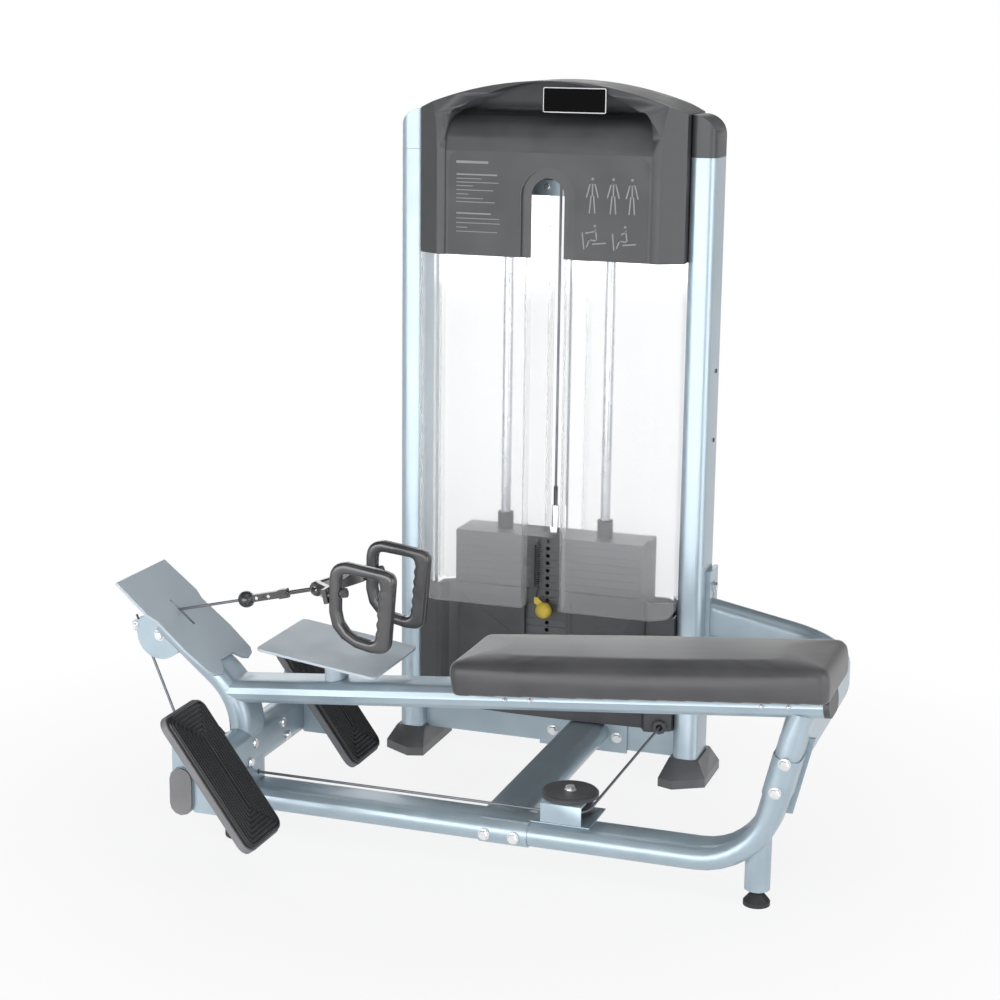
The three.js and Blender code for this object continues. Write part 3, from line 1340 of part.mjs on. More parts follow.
// One racetrack groove, each ring a pitch further in than the last
function makeGroove(k) {
  const outer = PEDAL_TREAD_INSET + (k + 1) * TREAD_GROOVE_PITCH - TREAD_GROOVE_WIDTH;
  const inner = outer + TREAD_GROOVE_WIDTH;
  const ring = (inset) => {
    const corner = Math.max(PEDAL_CORNER - inset, TREAD_GROOVE_WIDTH);
    return roundedBox(PEDAL_RUN - 2 * inset, PEDAL_WIDTH - 2 * inset, corner);
  };
  const shape = pierced(ring(outer), ring(inner));
  return extrudeZ(shape, -TREAD_GROOVE_DEPTH, OVERRUN, TREAD_CORNER_STEPS).translate(PEDAL_RUN / 2, 0, 0);
}

// Bench: the lower tube runs level, bends up and ends at the riser joint
const RISER_LEAN = THREE.MathUtils.degToRad(90 - BENCH_BEND_DEG);

function benchLine(from, beyond) {
  const centre = [BENCH_BEND_X, LOWER_TUBE_Z + BEND_RADIUS];
  const bend = arc(centre, BEND_RADIUS, -90, BENCH_BEND_DEG - 90, BEND_STEPS);
  const [x, z] = bend[bend.length - 1];
  const run = (RISER_JOINT_Z - z) / Math.cos(RISER_LEAN) + beyond;
  return [[from, LOWER_TUBE_Z], ...bend, [x + run * Math.sin(RISER_LEAN), z + run * Math.cos(RISER_LEAN)]];
}

function riserPoint(beyond) {
  const line = benchLine(FOOT_X, beyond);
  return line[line.length - 1];
}

function lowerTubeBody(grow) {
  return bentTube(wideTube(grow), benchLine(FOOT_X, 0));
}

function makeLowerTube() {
  const tube = cut(
    lowerTubeBody(0),
    bentTube(wideTube(-TUBE_WALL), benchLine(FOOT_X - OVERRUN, OVERRUN)),
    postBody(SEAT_GAP, 0, FOOT_BEAM_Z),
  );
  const sleeveLine = [riserPoint(-SLEEVE_LENGTH), riserPoint(0)];
  const sleeve = cut(
    bentTube(wideTube(SLEEVE_THICKNESS), sleeveLine),
    bentTube(wideTube(-TUBE_WALL), [riserPoint(-SLEEVE_LENGTH - OVERRUN), riserPoint(OVERRUN)]),
  );
  const padEdge = (TUBE_SHORT - TUBE_LONG) / 2 - SLEEVE_THICKNESS;
  const splice = cut(
    extrudeX(wideTube(SLEEVE_THICKNESS), SPLICE_LEFT, SPLICE_RIGHT).translate(0, 0, LOWER_TUBE_Z),
    box(SPLICE_LEFT - OVERRUN, SPLICE_RIGHT + OVERRUN, padEdge, TUBE_LONG, 0, 2 * LOWER_TUBE_Z),
    extrudeX(wideTube(-TUBE_WALL), SPLICE_LEFT - OVERRUN, SPLICE_RIGHT + OVERRUN).translate(0, 0, LOWER_TUBE_Z),
  );
  const stub = cut(
    rodZ(LEVEL_X, 0, LEVEL_STUB_RADIUS, LEVEL_STUB_BOTTOM, LEVEL_STUB_TOP, FINE),
    rodZ(LEVEL_X, 0, LEVEL_STEM_RADIUS + SEAT_GAP, 0, LEVEL_STUB_BOTTOM + LEVEL_STEM_INSIDE + OVERRUN, ROUND),
  );
  return join(tube, sleeve, splice, stub);
}

// Rail: its own frame lies on the centre line where X is zero, X up the slope
const RAIL_SLOPE = THREE.MathUtils.degToRad(RAIL_SLOPE_DEG);

function railBody(grow) {
  const body = extrudeX(wideTube(grow), RAIL_LEFT, RAIL_RIGHT);
  return body.rotateY(-RAIL_SLOPE).translate(0, 0, RAIL_ZERO_Z);
}

function makeRail() {
  const bore = extrudeX(wideTube(-TUBE_WALL), RAIL_LEFT - OVERRUN, RAIL_RIGHT + OVERRUN);
  bore.rotateY(-RAIL_SLOPE).translate(0, 0, RAIL_ZERO_Z);
  const upright = bentTube(wideTube(SEAT_GAP), uprightLine(FOOT_BEAM_Z, UPRIGHT_TOP_RUN));
  const tube = cut(railBody(0), bore, upright);
  const underside = riserPoint(0)[0] * Math.tan(RAIL_SLOPE) + RAIL_ZERO_Z - TUBE_SHORT / 2;
  const reach = (underside - RISER_JOINT_Z) / Math.cos(RISER_LEAN) + OVERRUN;
  const stub = bentTube(wideTube(), [riserPoint(SEAT_GAP), riserPoint(reach)]);
  const spigot = bentTube(wideTube(-TUBE_WALL - SEAT_GAP), [riserPoint(-SPIGOT_LENGTH), riserPoint(OVERRUN)]);
  return join(tube, stub, spigot);
}

function makeRailCap() {
  return extrudeX(wideTube(), RAIL_RIGHT + SEAT_GAP, RAIL_RIGHT + RAIL_CAP);
}

function makeCrossbeam() {
  const start = (TUBE_LONG - TUBE_SHORT) / 2 + TUBE_WALL;
  const end = TOWER_Y - BASE_DEPTH / 2 - BASE_PLATE_THICKNESS - SEAT_GAP;
  const outer = extrudeY(wideTube(), start, end);
  const inner = extrudeY(wideTube(-TUBE_WALL), start - OVERRUN, end + OVERRUN);
  return cut(
    cut(outer, inner).translate(CROSSBEAM_X, 0, LOWER_TUBE_Z),
    lowerTubeBody(SEAT_GAP),
  );
}

function makeLevelingFoot() {
  const profile = [
    [0, 0],
    [LEVEL_DISC_RADIUS, 0],
    [LEVEL_DISC_RADIUS, LEVEL_DISC_LIP],
    [2 * LEVEL_STEM_RADIUS, LEVEL_CONE_TOP],
    [LEVEL_STEM_RADIUS, LEVEL_CONE_TOP],
    [LEVEL_STEM_RADIUS, LEVEL_STUB_BOTTOM + LEVEL_STEM_INSIDE],
    [0, LEVEL_STUB_BOTTOM + LEVEL_STEM_INSIDE],
  ];
  const foot = new THREE.LatheGeometry(profile.map(([r, z]) => new THREE.Vector2(r, z)), PULLEY_SIDES);
  return foot.rotateX(Math.PI / 2);
}

// A path whose section keeps its second axis upright, for the arm that slopes and turns
class LevelCurve extends StepCurve {
  computeFrenetFrames(steps) {
    const up = new THREE.Vector3(0, 0, 1);
    const tangents = [...Array(steps + 1).keys()].map((k) => this.getTangent(k / steps));
    const normals = tangents.map((tangent) => up.clone().cross(tangent).normalize());
    return { tangents, normals, binormals: tangents.map(() => up) };
  }
}

function braceLine() {
  const start = new THREE.Vector2(POST_OUTER_X + BRACE_PLATE_THICKNESS - TUBE_WALL, BRACE_START_Y);
  const corner = new THREE.Vector2(BRACE_X, BRACE_CORNER_Y);
  const heading = corner.clone().sub(start).normalize();
  const turn = Math.PI / 2 + Math.atan2(heading.y, heading.x);
  const tangent = BEND_RADIUS * Math.tan(turn / 2);
  const bendEndY = BRACE_CORNER_Y - tangent;
  const angle = THREE.MathUtils.radToDeg(turn);
  const bend = arc([BRACE_X - BEND_RADIUS, bendEndY], BEND_RADIUS, angle, 0, BEND_STEPS);
  const end = [BRACE_X, TUBE_LONG / 2 + SLEEVE_THICKNESS + SEAT_GAP + JOIN];
  const height = (x) => BRACE_Z + (BRACE_X - x) * BRACE_RISE_SHARE;
  return [start.toArray(), ...bend, end].map(([x, y]) => new THREE.Vector3(x, y, height(x)));
}

function makeBraceArm() {
  const options = { steps: BEND_STEPS + 2, extrudePath: new LevelCurve(braceLine()), curveSegments: MEDIUM };
  const arm = new THREE.ExtrudeGeometry(tallTube(), options);
  const plate = box(
    POST_OUTER_X + SEAT_GAP, POST_OUTER_X + BRACE_PLATE_THICKNESS,
    BRACE_PLATE_Y - BRACE_PLATE_HALF_DEPTH, BRACE_PLATE_Y + BRACE_PLATE_HALF_DEPTH,
    BRACE_PLATE_BOTTOM, BRACE_PLATE_TOP,
  );
  const axisX = (z) => riserPoint(0)[0] + (z - RISER_JOINT_Z) * Math.tan(RISER_LEAN);
  const half = BRACE_LUG_WIDTH / 2;
  const lugOutline = [
    [axisX(BRACE_LUG_BOTTOM) - half, BRACE_LUG_BOTTOM],
    [axisX(BRACE_LUG_BOTTOM) + half, BRACE_LUG_BOTTOM],
    [axisX(BRACE_LUG_TOP) + half, BRACE_LUG_TOP],
    [axisX(BRACE_LUG_TOP) - half, BRACE_LUG_TOP],
  ];
  const lugFront = TUBE_LONG / 2 + SLEEVE_THICKNESS + SEAT_GAP;
  const lug = extrudeY(polygon(lugOutline), lugFront, lugFront + BRACE_LUG_THICKNESS);
  return join(arm, plate, lug);
}

// Step plate with its stub down to the rail
function makeStepPlate() {
  const slope = THREE.MathUtils.degToRad(STEP_SLOPE_DEG);
  const plate = extrudeZ(roundedBox(STEP_LENGTH, STEP_WIDTH, STEP_CORNER), -STEP_THICKNESS, 0);
  plate.translate(STEP_LENGTH / 2, 0, 0).rotateY(-slope).translate(STEP_LEFT, 0, STEP_LEFT_Z);
  const top = STEP_LEFT_Z + (STEP_STUB_X - STEP_LEFT) * Math.tan(slope) - STEP_THICKNESS / 2;
  const stub = extrudeZ(tallStadium(STEP_STUB_LENGTH, STEP_STUB_WIDTH), RAIL_ZERO_Z - TUBE_SHORT, top);
  const coped = cut(stub.translate(STEP_STUB_X, 0, 0), railBody(SEAT_GAP));
  return join(plate, upperPart(coped));
}

// The body of a cut piece that lies highest
function upperPart(geometry) {
  const bodies = solid(geometry).decompose();
  const height = (body) => body.boundingBox().max[2];
  return geometryOf(bodies.reduce((a, b) => (height(b) > height(a) ? b : a)));
}

// Seat pad: stacked rounded rings, drawn in at the base, crowned on top
function padRing(inset, z) {
  const corner = Math.max(PAD_CORNER - inset, PAD_CORNER_LEAST);
  const shape = roundedBox(PAD_LENGTH - 2 * inset, PAD_WIDTH - 2 * inset, corner);
  return shape.extractPoints(MEDIUM).shape.map((p) => [p.x, p.y, z]);
}

function makePad() {
  const side = [[PAD_DRAW_IN, 0], [PAD_DRAW_IN / 2, PAD_DRAW_IN], [0, PAD_THICKNESS / 2]];
  const round = arc([PAD_ROUND, PAD_THICKNESS - PAD_ROUND], PAD_ROUND, 180, 90, MEDIUM);
  const crown = PAD_CROWN_SHARES.map(([inset, rise]) =>
    [PAD_ROUND + inset * (PAD_WIDTH / 2 - PAD_ROUND), PAD_THICKNESS + rise * PAD_CROWN]);
  return loft([...side, ...round, ...crown].map(([inset, z]) => padRing(inset, z)));
}

// Redirect pulley: base plate, channel, hubs and pin in one bracket
function makeRedirectBracket() {
  const floor = LOWER_TUBE_Z + TUBE_SHORT / 2 + SEAT_GAP;
  const floorTop = floor + REDIRECT_PLATE_THICKNESS;
  const x = SIDE_PULLEY_X;
  const base = box(
    REDIRECT_PLATE_LEFT, REDIRECT_PLATE_RIGHT,
    REDIRECT_PLATE_FRONT, REDIRECT_PLATE_BACK,
    floor, floorTop,
  );
  const front = box(
    x - CHANNEL_HALF, x + CHANNEL_HALF,
    CHANNEL_FRONT, CHANNEL_FRONT + CHANNEL_WALL,
    floorTop - JOIN, CHANNEL_TOP,
  );
  const roof = box(
    x - CHANNEL_HALF, x + CHANNEL_HALF,
    CHANNEL_FRONT, CHANNEL_BACK,
    CHANNEL_TOP - CHANNEL_WALL, CHANNEL_TOP,
  );
  const clear = PULLEY_HALF_WIDTH + SEAT_GAP;
  const hubs = [
    rodZ(x, REDIRECT_Y, CHANNEL_HUB_RADIUS, floorTop - JOIN, CABLE_LEVEL - clear),
    rodZ(x, REDIRECT_Y, CHANNEL_HUB_RADIUS, CABLE_LEVEL + clear, CHANNEL_TOP),
    rodZ(x, REDIRECT_Y, PIN_SHAFT, floorTop, CHANNEL_TOP - JOIN),
  ];
  return join(base, front, roof, ...hubs);
}

function makeRedirectCover() {
  const bottom = CHANNEL_TOP + SEAT_GAP;
  const profile = [
    [0, bottom],
    [COVER_DISC_RADIUS, bottom],
    [COVER_DISC_RADIUS, COVER_DISC_TOP - COVER_DISC_ROUND],
    [COVER_DISC_RADIUS - COVER_DISC_ROUND, COVER_DISC_TOP],
    [0, COVER_DISC_TOP],
  ];
  const disc = new THREE.LatheGeometry(profile.map(([r, z]) => new THREE.Vector2(r, z)), COVER_DISC_SIDES);
  return disc.rotateX(Math.PI / 2);
}

// Cable: three runs that meet face to face
const cableSection = () => circle(CABLE_RADIUS);
const PULL_RISE = THREE.MathUtils.degToRad(PULL_RISE_DEG);

function stackCable() {
  return rodZ(0, 0, CABLE_RADIUS, SLEEVE_TOP + SEAT_GAP, TOP_PULLEY_Z - SEAT_GAP, CABLE_SIDES / 2);
}

// Angle on the foot pulleys at which the run between them leaves one and meets the other
function footTangentDeg() {
  const dx = HEEL_PULLEY[0] - FOOT_PULLEY[0];
  const dz = HEEL_PULLEY[1] - FOOT_PULLEY[1];
  return THREE.MathUtils.radToDeg(Math.atan2(dz, dx)) - 3 * RIGHT_ANGLE_DEG;
}

function frameCablePoints() {
  const r = PULLEY_LINE;
  const rearY = TOWER_Y + REAR_PULLEY_Y;
  const side = [SIDE_PULLEY_X, TOWER_Y + SIDE_PULLEY_Y];
  const tangent = footTangentDeg();
  const upper = 90 + PULL_RISE_DEG;
  const inX = (x) => ([y, z]) => new THREE.Vector3(x, y, z);
  const inY = (y) => ([x, z]) => new THREE.Vector3(x, y, z);
  const inZ = (z) => ([x, y]) => new THREE.Vector3(x, y, z);
  return [
    ...arc([TOWER_Y + r, TOP_PULLEY_Z], r, 180, 0, 2 * CABLE_TURN_STEPS).map(inX(0)),
    ...arc([REAR_PULLEY_X, REAR_PULLEY_Z], r, 180, 270, CABLE_TURN_STEPS).map(inY(rearY)),
    ...arc(side, r, 90, 0, CABLE_TURN_STEPS).map(inZ(CABLE_LEVEL)),
    ...arc([SIDE_PULLEY_X, REDIRECT_Y], r, 0, -90, CABLE_TURN_STEPS).map(inZ(CABLE_LEVEL)),
    ...arc(FOOT_PULLEY, r, -90, tangent, CABLE_TURN_STEPS).map(inY(0)),
    ...arc(HEEL_PULLEY, r, tangent + 360, upper, CABLE_TURN_STEPS).map(inY(0)),
  ];
}

// Handle set: its frame starts at the ball, X along the pull line
function pullStart() {
  const a = Math.PI / 2 + PULL_RISE;
  return [HEEL_PULLEY[0] + PULLEY_LINE * Math.cos(a), HEEL_PULLEY[1] + PULLEY_LINE * Math.sin(a)];
}

const PULL_RUN = (BALL_X - pullStart()[0]) / Math.cos(PULL_RISE);
const BALL_Z = pullStart()[1] + PULL_RUN * Math.sin(PULL_RISE);

function handleCable() {
  return rodX(0, 0, CABLE_RADIUS, SEAT_GAP - PULL_RUN, -BALL_RADIUS - SEAT_GAP, CABLE_SIDES / 2);
}

function makeLink() {
  const ball = new THREE.SphereGeometry(BALL_RADIUS, KNOB_SIDES, KNOB_SIDES / 2);
  const halfWidth = LINK_WIDTH / 2;
  const blockEnd = LINK_START + LINK_LENGTH;
  const block = box(LINK_START, blockEnd, -halfWidth, halfWidth, -LINK_HEIGHT / 2, LINK_HEIGHT / 2);
  const clevis = box(
    blockEnd - JOIN, blockEnd + CLEVIS_LENGTH,
    -halfWidth, halfWidth,
    -CLEVIS_HEIGHT / 2, CLEVIS_HEIGHT / 2,
  );
  return join(ball, block, clevis, makeRing());
}

// Oblong ring through the clevis and the bracket's eye
function makeRing() {
  const edge = RING_BAR / 4;
  const outline = pierced(
    stadium(RING_LENGTH, RING_WIDTH),
    stadium(RING_LENGTH - 2 * RING_BAR, RING_WIDTH - 2 * RING_BAR),
  );
  const ring = new THREE.ExtrudeGeometry(outline, {
    depth: RING_BAR - 2 * edge,
    bevelThickness: edge,
    bevelSize: edge,
    bevelOffset: -edge,
    bevelSegments: 1,
    curveSegments: MEDIUM,
  });
  const centre = EYE_FROM_BALL - RING_LENGTH / 2 + RING_BAR / 2;
  return ring.translate(centre, 0, edge - RING_BAR / 2);
}

function makeBracket() {
  const halfHeight = YOKE_HEIGHT / 2;
  const nose = extrudeY(circle(YOKE_NOSE), -YOKE_THICKNESS / 2, YOKE_THICKNESS / 2, FINE);
  nose.translate(EYE_FROM_BALL + YOKE_NOSE - EYE_RADIUS - YOKE_THICKNESS / 2, 0, 0);
  const eye = rodY(EYE_FROM_BALL, 0, EYE_RADIUS, -YOKE_HEIGHT, YOKE_HEIGHT);
  const apex = EYE_FROM_BALL + YOKE_NOSE;
  const reach = EYE_FROM_BALL + YOKE_REACH;
  const arm = bentSheet([
    [apex - YOKE_THICKNESS / 2, -YOKE_THICKNESS / 2],
    [reach, YOKE_SPREAD],
    [reach, HANDLE_SPREAD + SWIVEL_NUT_RADIUS],
  ], YOKE_THICKNESS);
  const far = extrudeZ(arm, -halfHeight, halfHeight);
  const bolt = rodX(HANDLE_SPREAD, 0, SWIVEL_RADIUS, reach - YOKE_THICKNESS, SWIVEL_END, ROUND);
  const nut = rodX(HANDLE_SPREAD, 0, SWIVEL_NUT_RADIUS, SWIVEL_END - SWIVEL_NUT_LENGTH, SWIVEL_END);
  const armSide = [far, bolt, nut];
  const otherSide = armSide.map((part) => mirrored(part, "y"));
  return join(cut(nose, eye), ...armSide, ...otherSide);
}

// D handle: one moulding, outline given in shares of its width and height
function handlePoints(steps) {
  const path = new THREE.Path();
  const scaled = (share) => share.map((v, i) => v * (i % 2 === 0 ? HANDLE_WIDTH : HANDLE_HEIGHT));
  steps.forEach(([kind, ...share]) => path[kind](...scaled(share)));
  const points = path.getPoints(MEDIUM);
  return points.filter((point, i) => point.distanceTo(points[(i + 1) % points.length]) > SEAT_GAP);
}

// The grip's inner edge has shallow finger waves between two points
function gripWaves([x0, z0], [x1, z1]) {
  return [...Array(GRIP_WAVES * 4 + 1).keys()].map((k) => {
    const t = k / (GRIP_WAVES * 4);
    const wave = GRIP_WAVE_SHARE * Math.sin(2 * Math.PI * t * GRIP_WAVES);
    return ["lineTo", x0 + (x1 - x0) * t + wave, z0 + (z1 - z0) * t];
  });
}

function makeHandle() {
  const shape = new THREE.Shape(handlePoints(HANDLE_OUTER));
  const waves = gripWaves(GRIP_TOP, GRIP_BOTTOM);
  const opening = handlePoints([...HANDLE_INNER_START, ...waves, ...HANDLE_INNER_END]);
  shape.holes.push(new THREE.Path(opening.reverse()));
  const body = new THREE.ExtrudeGeometry(shape, {
    depth: HANDLE_THICKNESS - 2 * HANDLE_ROUND,
    bevelThickness: HANDLE_ROUND,
    bevelSize: HANDLE_ROUND,
    bevelOffset: -HANDLE_ROUND,
    bevelSegments: 2,
    curveSegments: MEDIUM,
  });
  return body.translate(0, 0, HANDLE_ROUND - HANDLE_THICKNESS / 2).rotateX(Math.PI / 2);
}

// The handle hangs on the bracket's swivel bolt, so its bore lies along the pull line
function boredHandle() {
  const reach = 2 * YOKE_REACH;
  const bore = rodX(0, 0, SWIVEL_RADIUS + SEAT_GAP, EYE_FROM_BALL, EYE_FROM_BALL + reach, ROUND);
  bore.rotateY(-PULL_RISE).translate(BALL_X - HANDLE_PIVOT[0], 0, BALL_Z - HANDLE_PIVOT[1]);
  return cut(makeHandle(), bore);
}

// Assembly: tower
const post = makePost();
const cap = makePostCap();
const footCover = makeFootCover();
const capZ = POST_TOP + SEAT_GAP;
piece(tower, "left_post", post, framePaint, [-POST_X, 0, 0]);
piece(tower, "right_post", post, framePaint, [POST_X, 0, 0]);
piece(tower, "left_post_cap", mirrored(cap, "x"), framePaint, [-POST_X, 0, capZ]);
piece(tower, "right_post_cap", cap, darkPlastic, [POST_X, 0, capZ]);
piece(tower, "left_foot_cover", mirrored(footCover, "x"), darkPlastic, [-POST_X, 0, 0]);
piece(tower, "right_foot_cover", footCover, darkPlastic, [POST_X, 0, 0]);
piece(tower, "base_cross_member", makeBaseMember(), framePaint);
piece(tower, "top_cross_beam", makeTopBeam(), framePaint);

const frontScreen = makeScreen(SHROUD_BOTTOM);
const rearScreen = mirrored(makeScreen(BEAM_BOTTOM), "y");
piece(tower, "front_top_shroud", makeFrontShroud(), darkPlastic);
piece(tower, "rear_top_shroud", makeBackShroud(), darkPlastic);
piece(tower, "front_left_screen", mirrored(frontScreen, "x"), frosted);
piece(tower, "front_right_screen", frontScreen, frosted);
piece(tower, "rear_left_screen", mirrored(rearScreen, "x"), frosted);
piece(tower, "rear_right_screen", rearScreen, frosted);
piece(tower, "front_lower_shroud", makeFrontLowerShroud(), darkPlastic);
piece(tower, "rear_lower_shroud", makeBackLowerShroud(), darkPlastic);

const guideRod = rodZ(
  0, 0, ROD_RADIUS,
  BASE_TOP - ROD_SEAT_DEPTH, BEAM_BOTTOM + ROD_SEAT_DEPTH - SEAT_GAP, ROUND,
);
const collar = makeCollar();
piece(tower, "left_guide_rod", guideRod, steel, [-ROD_X, 0, 0]);
piece(tower, "right_guide_rod", guideRod, steel, [ROD_X, 0, 0]);
piece(tower, "stack_cushion", makeCushion(), rubber);
piece(tower, "resting_plates", stackBlock(LIFTED_BOTTOM - SEAT_GAP, PLATE_COUNT - LIFTED_COUNT), stackPaint);
piece(tower, "lifted_plates", stackBlock(STACK_TOP, LIFTED_COUNT), stackPaint);
piece(tower, "head_plate", makeHeadPlate(), stackPaint);
piece(tower, "left_rod_collar", collar, rubber, [-ROD_X, 0, 0]);
piece(tower, "right_rod_collar", collar, rubber, [ROD_X, 0, 0]);
piece(tower, "selector_pin", makeSelectorPin(), yellow);
piece(tower, "pin_lanyard", makeLanyard(), rubber);

// Assembly: cable drive
const acrossX = new THREE.Euler(0, 0, Math.PI / 2);
const upright = new THREE.Euler(Math.PI / 2, 0, 0);
const alongY = new THREE.Euler();
const pulley = makePulley();
const pulleys = {
  top_pulley: [0, TOWER_Y + PULLEY_LINE, TOP_PULLEY_Z, acrossX],
  rear_base_pulley: [REAR_PULLEY_X, TOWER_Y + REAR_PULLEY_Y, REAR_PULLEY_Z, alongY],
  side_base_pulley: [SIDE_PULLEY_X, TOWER_Y + SIDE_PULLEY_Y, CABLE_LEVEL, upright],
  redirect_pulley: [SIDE_PULLEY_X, REDIRECT_Y, CABLE_LEVEL, upright],
  lower_foot_pulley: [FOOT_PULLEY[0], 0, FOOT_PULLEY[1], alongY],
  upper_foot_pulley: [HEEL_PULLEY[0], 0, HEEL_PULLEY[1], alongY],
};
Object.entries(pulleys).forEach(([name, [x, y, z, turn]]) => {
  piece(machine, name, pulley, darkPlastic, [x, y, z]).rotation.copy(turn);
});
piece(tower, "stack_cable", stackCable(), cableCoat);
piece(machine, "frame_cable", sweep(cableSection(), frameCablePoints(), CABLE_SIDES / 2), cableCoat);

// Assembly: bench
piece(machine, "crossbeam", makeCrossbeam(), framePaint);
piece(machine, "lower_tube", makeLowerTube(), framePaint);
piece(machine, "rail", makeRail(), framePaint);
piece(machine, "leveling_foot", makeLevelingFoot(), rubber, [LEVEL_X, 0, 0]);
piece(machine, "brace_arm", makeBraceArm(), framePaint);
piece(machine, "step_plate", makeStepPlate(), platePaint);
const railFrame = group(0, 0, RAIL_ZERO_Z);
railFrame.rotation.y = -RAIL_SLOPE;
piece(railFrame, "rail_end_cap", makeRailCap(), darkPlastic);
piece(railFrame, "seat_pad", makePad(), leather, [PAD_LEFT + PAD_LENGTH / 2, 0, TUBE_SHORT / 2 + SEAT_GAP]);

// Assembly: foot end
const beamCap = makeBeamCap();
piece(machine, "lower_post", makeLowerPost(), framePaint);
piece(machine, "round_foot", makeRoundFoot(), rubber);
piece(machine, "foot_beam", makeFootBeam(), framePaint);
piece(machine, "near_beam_cap", mirrored(beamCap, "y"), greyPlastic, [FOOT_X, -FOOT_BEAM_HALF - SEAT_GAP, FOOT_BEAM_Z]);
piece(machine, "far_beam_cap", beamCap, greyPlastic, [FOOT_X, FOOT_BEAM_HALF + SEAT_GAP, FOOT_BEAM_Z]);
piece(machine, "upright_tube", makeUpright(), framePaint);
const slopePlate = piece(machine, "slope_plate", makeSlopePlate(), platePaint, [SLOPE_TOP[0], 0, SLOPE_TOP[1]]);
slopePlate.rotation.y = THREE.MathUtils.degToRad(SLOPE_DEG);
const footPlate = makeFootPlate();
const tread = makeTread();
Object.entries({ near: -PEDAL_Y, far: PEDAL_Y }).forEach(([side, y]) => {
  piece(machine, `${side}_foot_plate`, footPlate, greyPlastic, [0, y, 0]);
  const top = piece(machine, `${side}_foot_tread`, tread, rubber, [PEDAL_TOP[0], y, PEDAL_TOP[1]]);
  top.rotation.y = PEDAL_ANGLE;
});

// Assembly: redirect pulley housing
const redirect = group();
piece(redirect, "redirect_bracket", makeRedirectBracket(), framePaint);
piece(redirect, "redirect_cover", makeRedirectCover(), darkPlastic, [SIDE_PULLEY_X, REDIRECT_Y, 0]);

// Assembly: handle set
const pull = group(BALL_X, 0, BALL_Z);
pull.rotation.y = -PULL_RISE;
piece(pull, "handle_cable", handleCable(), cableCoat);
piece(pull, "cable_link", makeLink(), darkPlastic);
piece(pull, "v_bracket", makeBracket(), steel);
const handle = boredHandle();
piece(machine, "near_handle", handle, darkPlastic, [HANDLE_PIVOT[0], -HANDLE_SPREAD, HANDLE_PIVOT[1]]);
piece(machine, "far_handle", handle, darkPlastic, [HANDLE_PIVOT[0], HANDLE_SPREAD, HANDLE_PIVOT[1]]);

const gap = leastGap(lanyardPoints(), 2 * LANYARD_CORD, CABLE_TURN_STEPS - 1);
console.log(`lanyard: least gap between turns ${gap.toFixed(2)} mm`);

// The object's frame starts at the middle of its footprint, on the floor
machine.updateMatrixWorld(true);
const extent = new THREE.Box3().setFromObject(machine, true);
const centre = extent.getCenter(new THREE.Vector3());
machine.position.set(-centre.x, -centre.y, -extent.min.z);

export default machine;
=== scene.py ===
# %% [markdown]
# # A seated cable row machine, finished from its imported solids
#
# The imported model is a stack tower, a bench and one cable that joins them. This script is a
# lesson in cells: each cell takes one piece or one finish of the machine, says what it is on
# the real thing, and makes it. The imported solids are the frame. They are never moved: each is
# copied, its edges are finished, and the copy rides on the body that the solid belongs to.

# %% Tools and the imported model
import json
import math
from contextlib import contextmanager

import bmesh
import bpy
from mathutils import Matrix, Vector


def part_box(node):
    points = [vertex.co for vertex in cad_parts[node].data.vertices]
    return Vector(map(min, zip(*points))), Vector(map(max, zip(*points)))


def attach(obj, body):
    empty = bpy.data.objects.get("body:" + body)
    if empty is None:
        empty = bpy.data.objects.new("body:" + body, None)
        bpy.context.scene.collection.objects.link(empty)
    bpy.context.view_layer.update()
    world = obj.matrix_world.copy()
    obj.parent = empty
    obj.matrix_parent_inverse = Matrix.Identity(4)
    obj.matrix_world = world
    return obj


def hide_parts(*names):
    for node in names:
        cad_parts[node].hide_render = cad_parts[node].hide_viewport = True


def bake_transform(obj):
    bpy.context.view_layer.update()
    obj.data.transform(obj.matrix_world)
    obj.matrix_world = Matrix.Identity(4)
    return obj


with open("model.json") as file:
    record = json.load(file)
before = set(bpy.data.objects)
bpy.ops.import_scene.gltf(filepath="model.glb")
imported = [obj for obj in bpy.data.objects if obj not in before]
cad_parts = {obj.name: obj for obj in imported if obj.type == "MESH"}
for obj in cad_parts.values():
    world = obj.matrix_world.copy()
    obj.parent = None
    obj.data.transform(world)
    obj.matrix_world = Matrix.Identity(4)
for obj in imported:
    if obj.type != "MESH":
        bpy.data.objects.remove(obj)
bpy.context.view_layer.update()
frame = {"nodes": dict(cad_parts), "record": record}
BODIES = frame["record"]["behaviour"]["bodies"]
BODY_OF = {node: body for body, nodes in BODIES.items() for node in nodes}
SLOT_OF = {row["node"]: row["material_slot"] for row in frame["record"]["subparts"]}

# %% [markdown]
# ## Where things are
# The solids were drawn with their zero at the middle of the tower, the middle of the bench
# and the floor. Measuring two posts and the rail gives that zero back, so every place below
# can be written in the machine's own millimetres.

# %% Millimetres of the machine to metres of the scene
MM = 0.001
TOWER_X = (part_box("left_post")[0][0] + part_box("right_post")[1][0]) / 2
BENCH_Y = (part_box("rail")[0][1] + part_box("rail")[1][1]) / 2


def at(x, y, z):
    return Vector((TOWER_X + x * MM, BENCH_Y + y * MM, z * MM))


def link_new(name, data):
    """A new object, linked into the scene."""
    obj = bpy.data.objects.new(name, data)
    bpy.context.collection.objects.link(obj)
    return obj


TO_FRONT = Vector((0, -1, 0))
TO_RIGHT = Vector((1, 0, 0))
TO_TOP = Vector((0, 0, 1))
print("tower x", round(TOWER_X, 4), "bench y", round(BENCH_Y, 4))

# %% [markdown]
# ## The camera
# The photograph looks down a little from the front and to the right. A long lens far away
# gives its gentle perspective. The camera's axes are worked out from three angles and set as
# a matrix, which avoids guessing at Euler order.

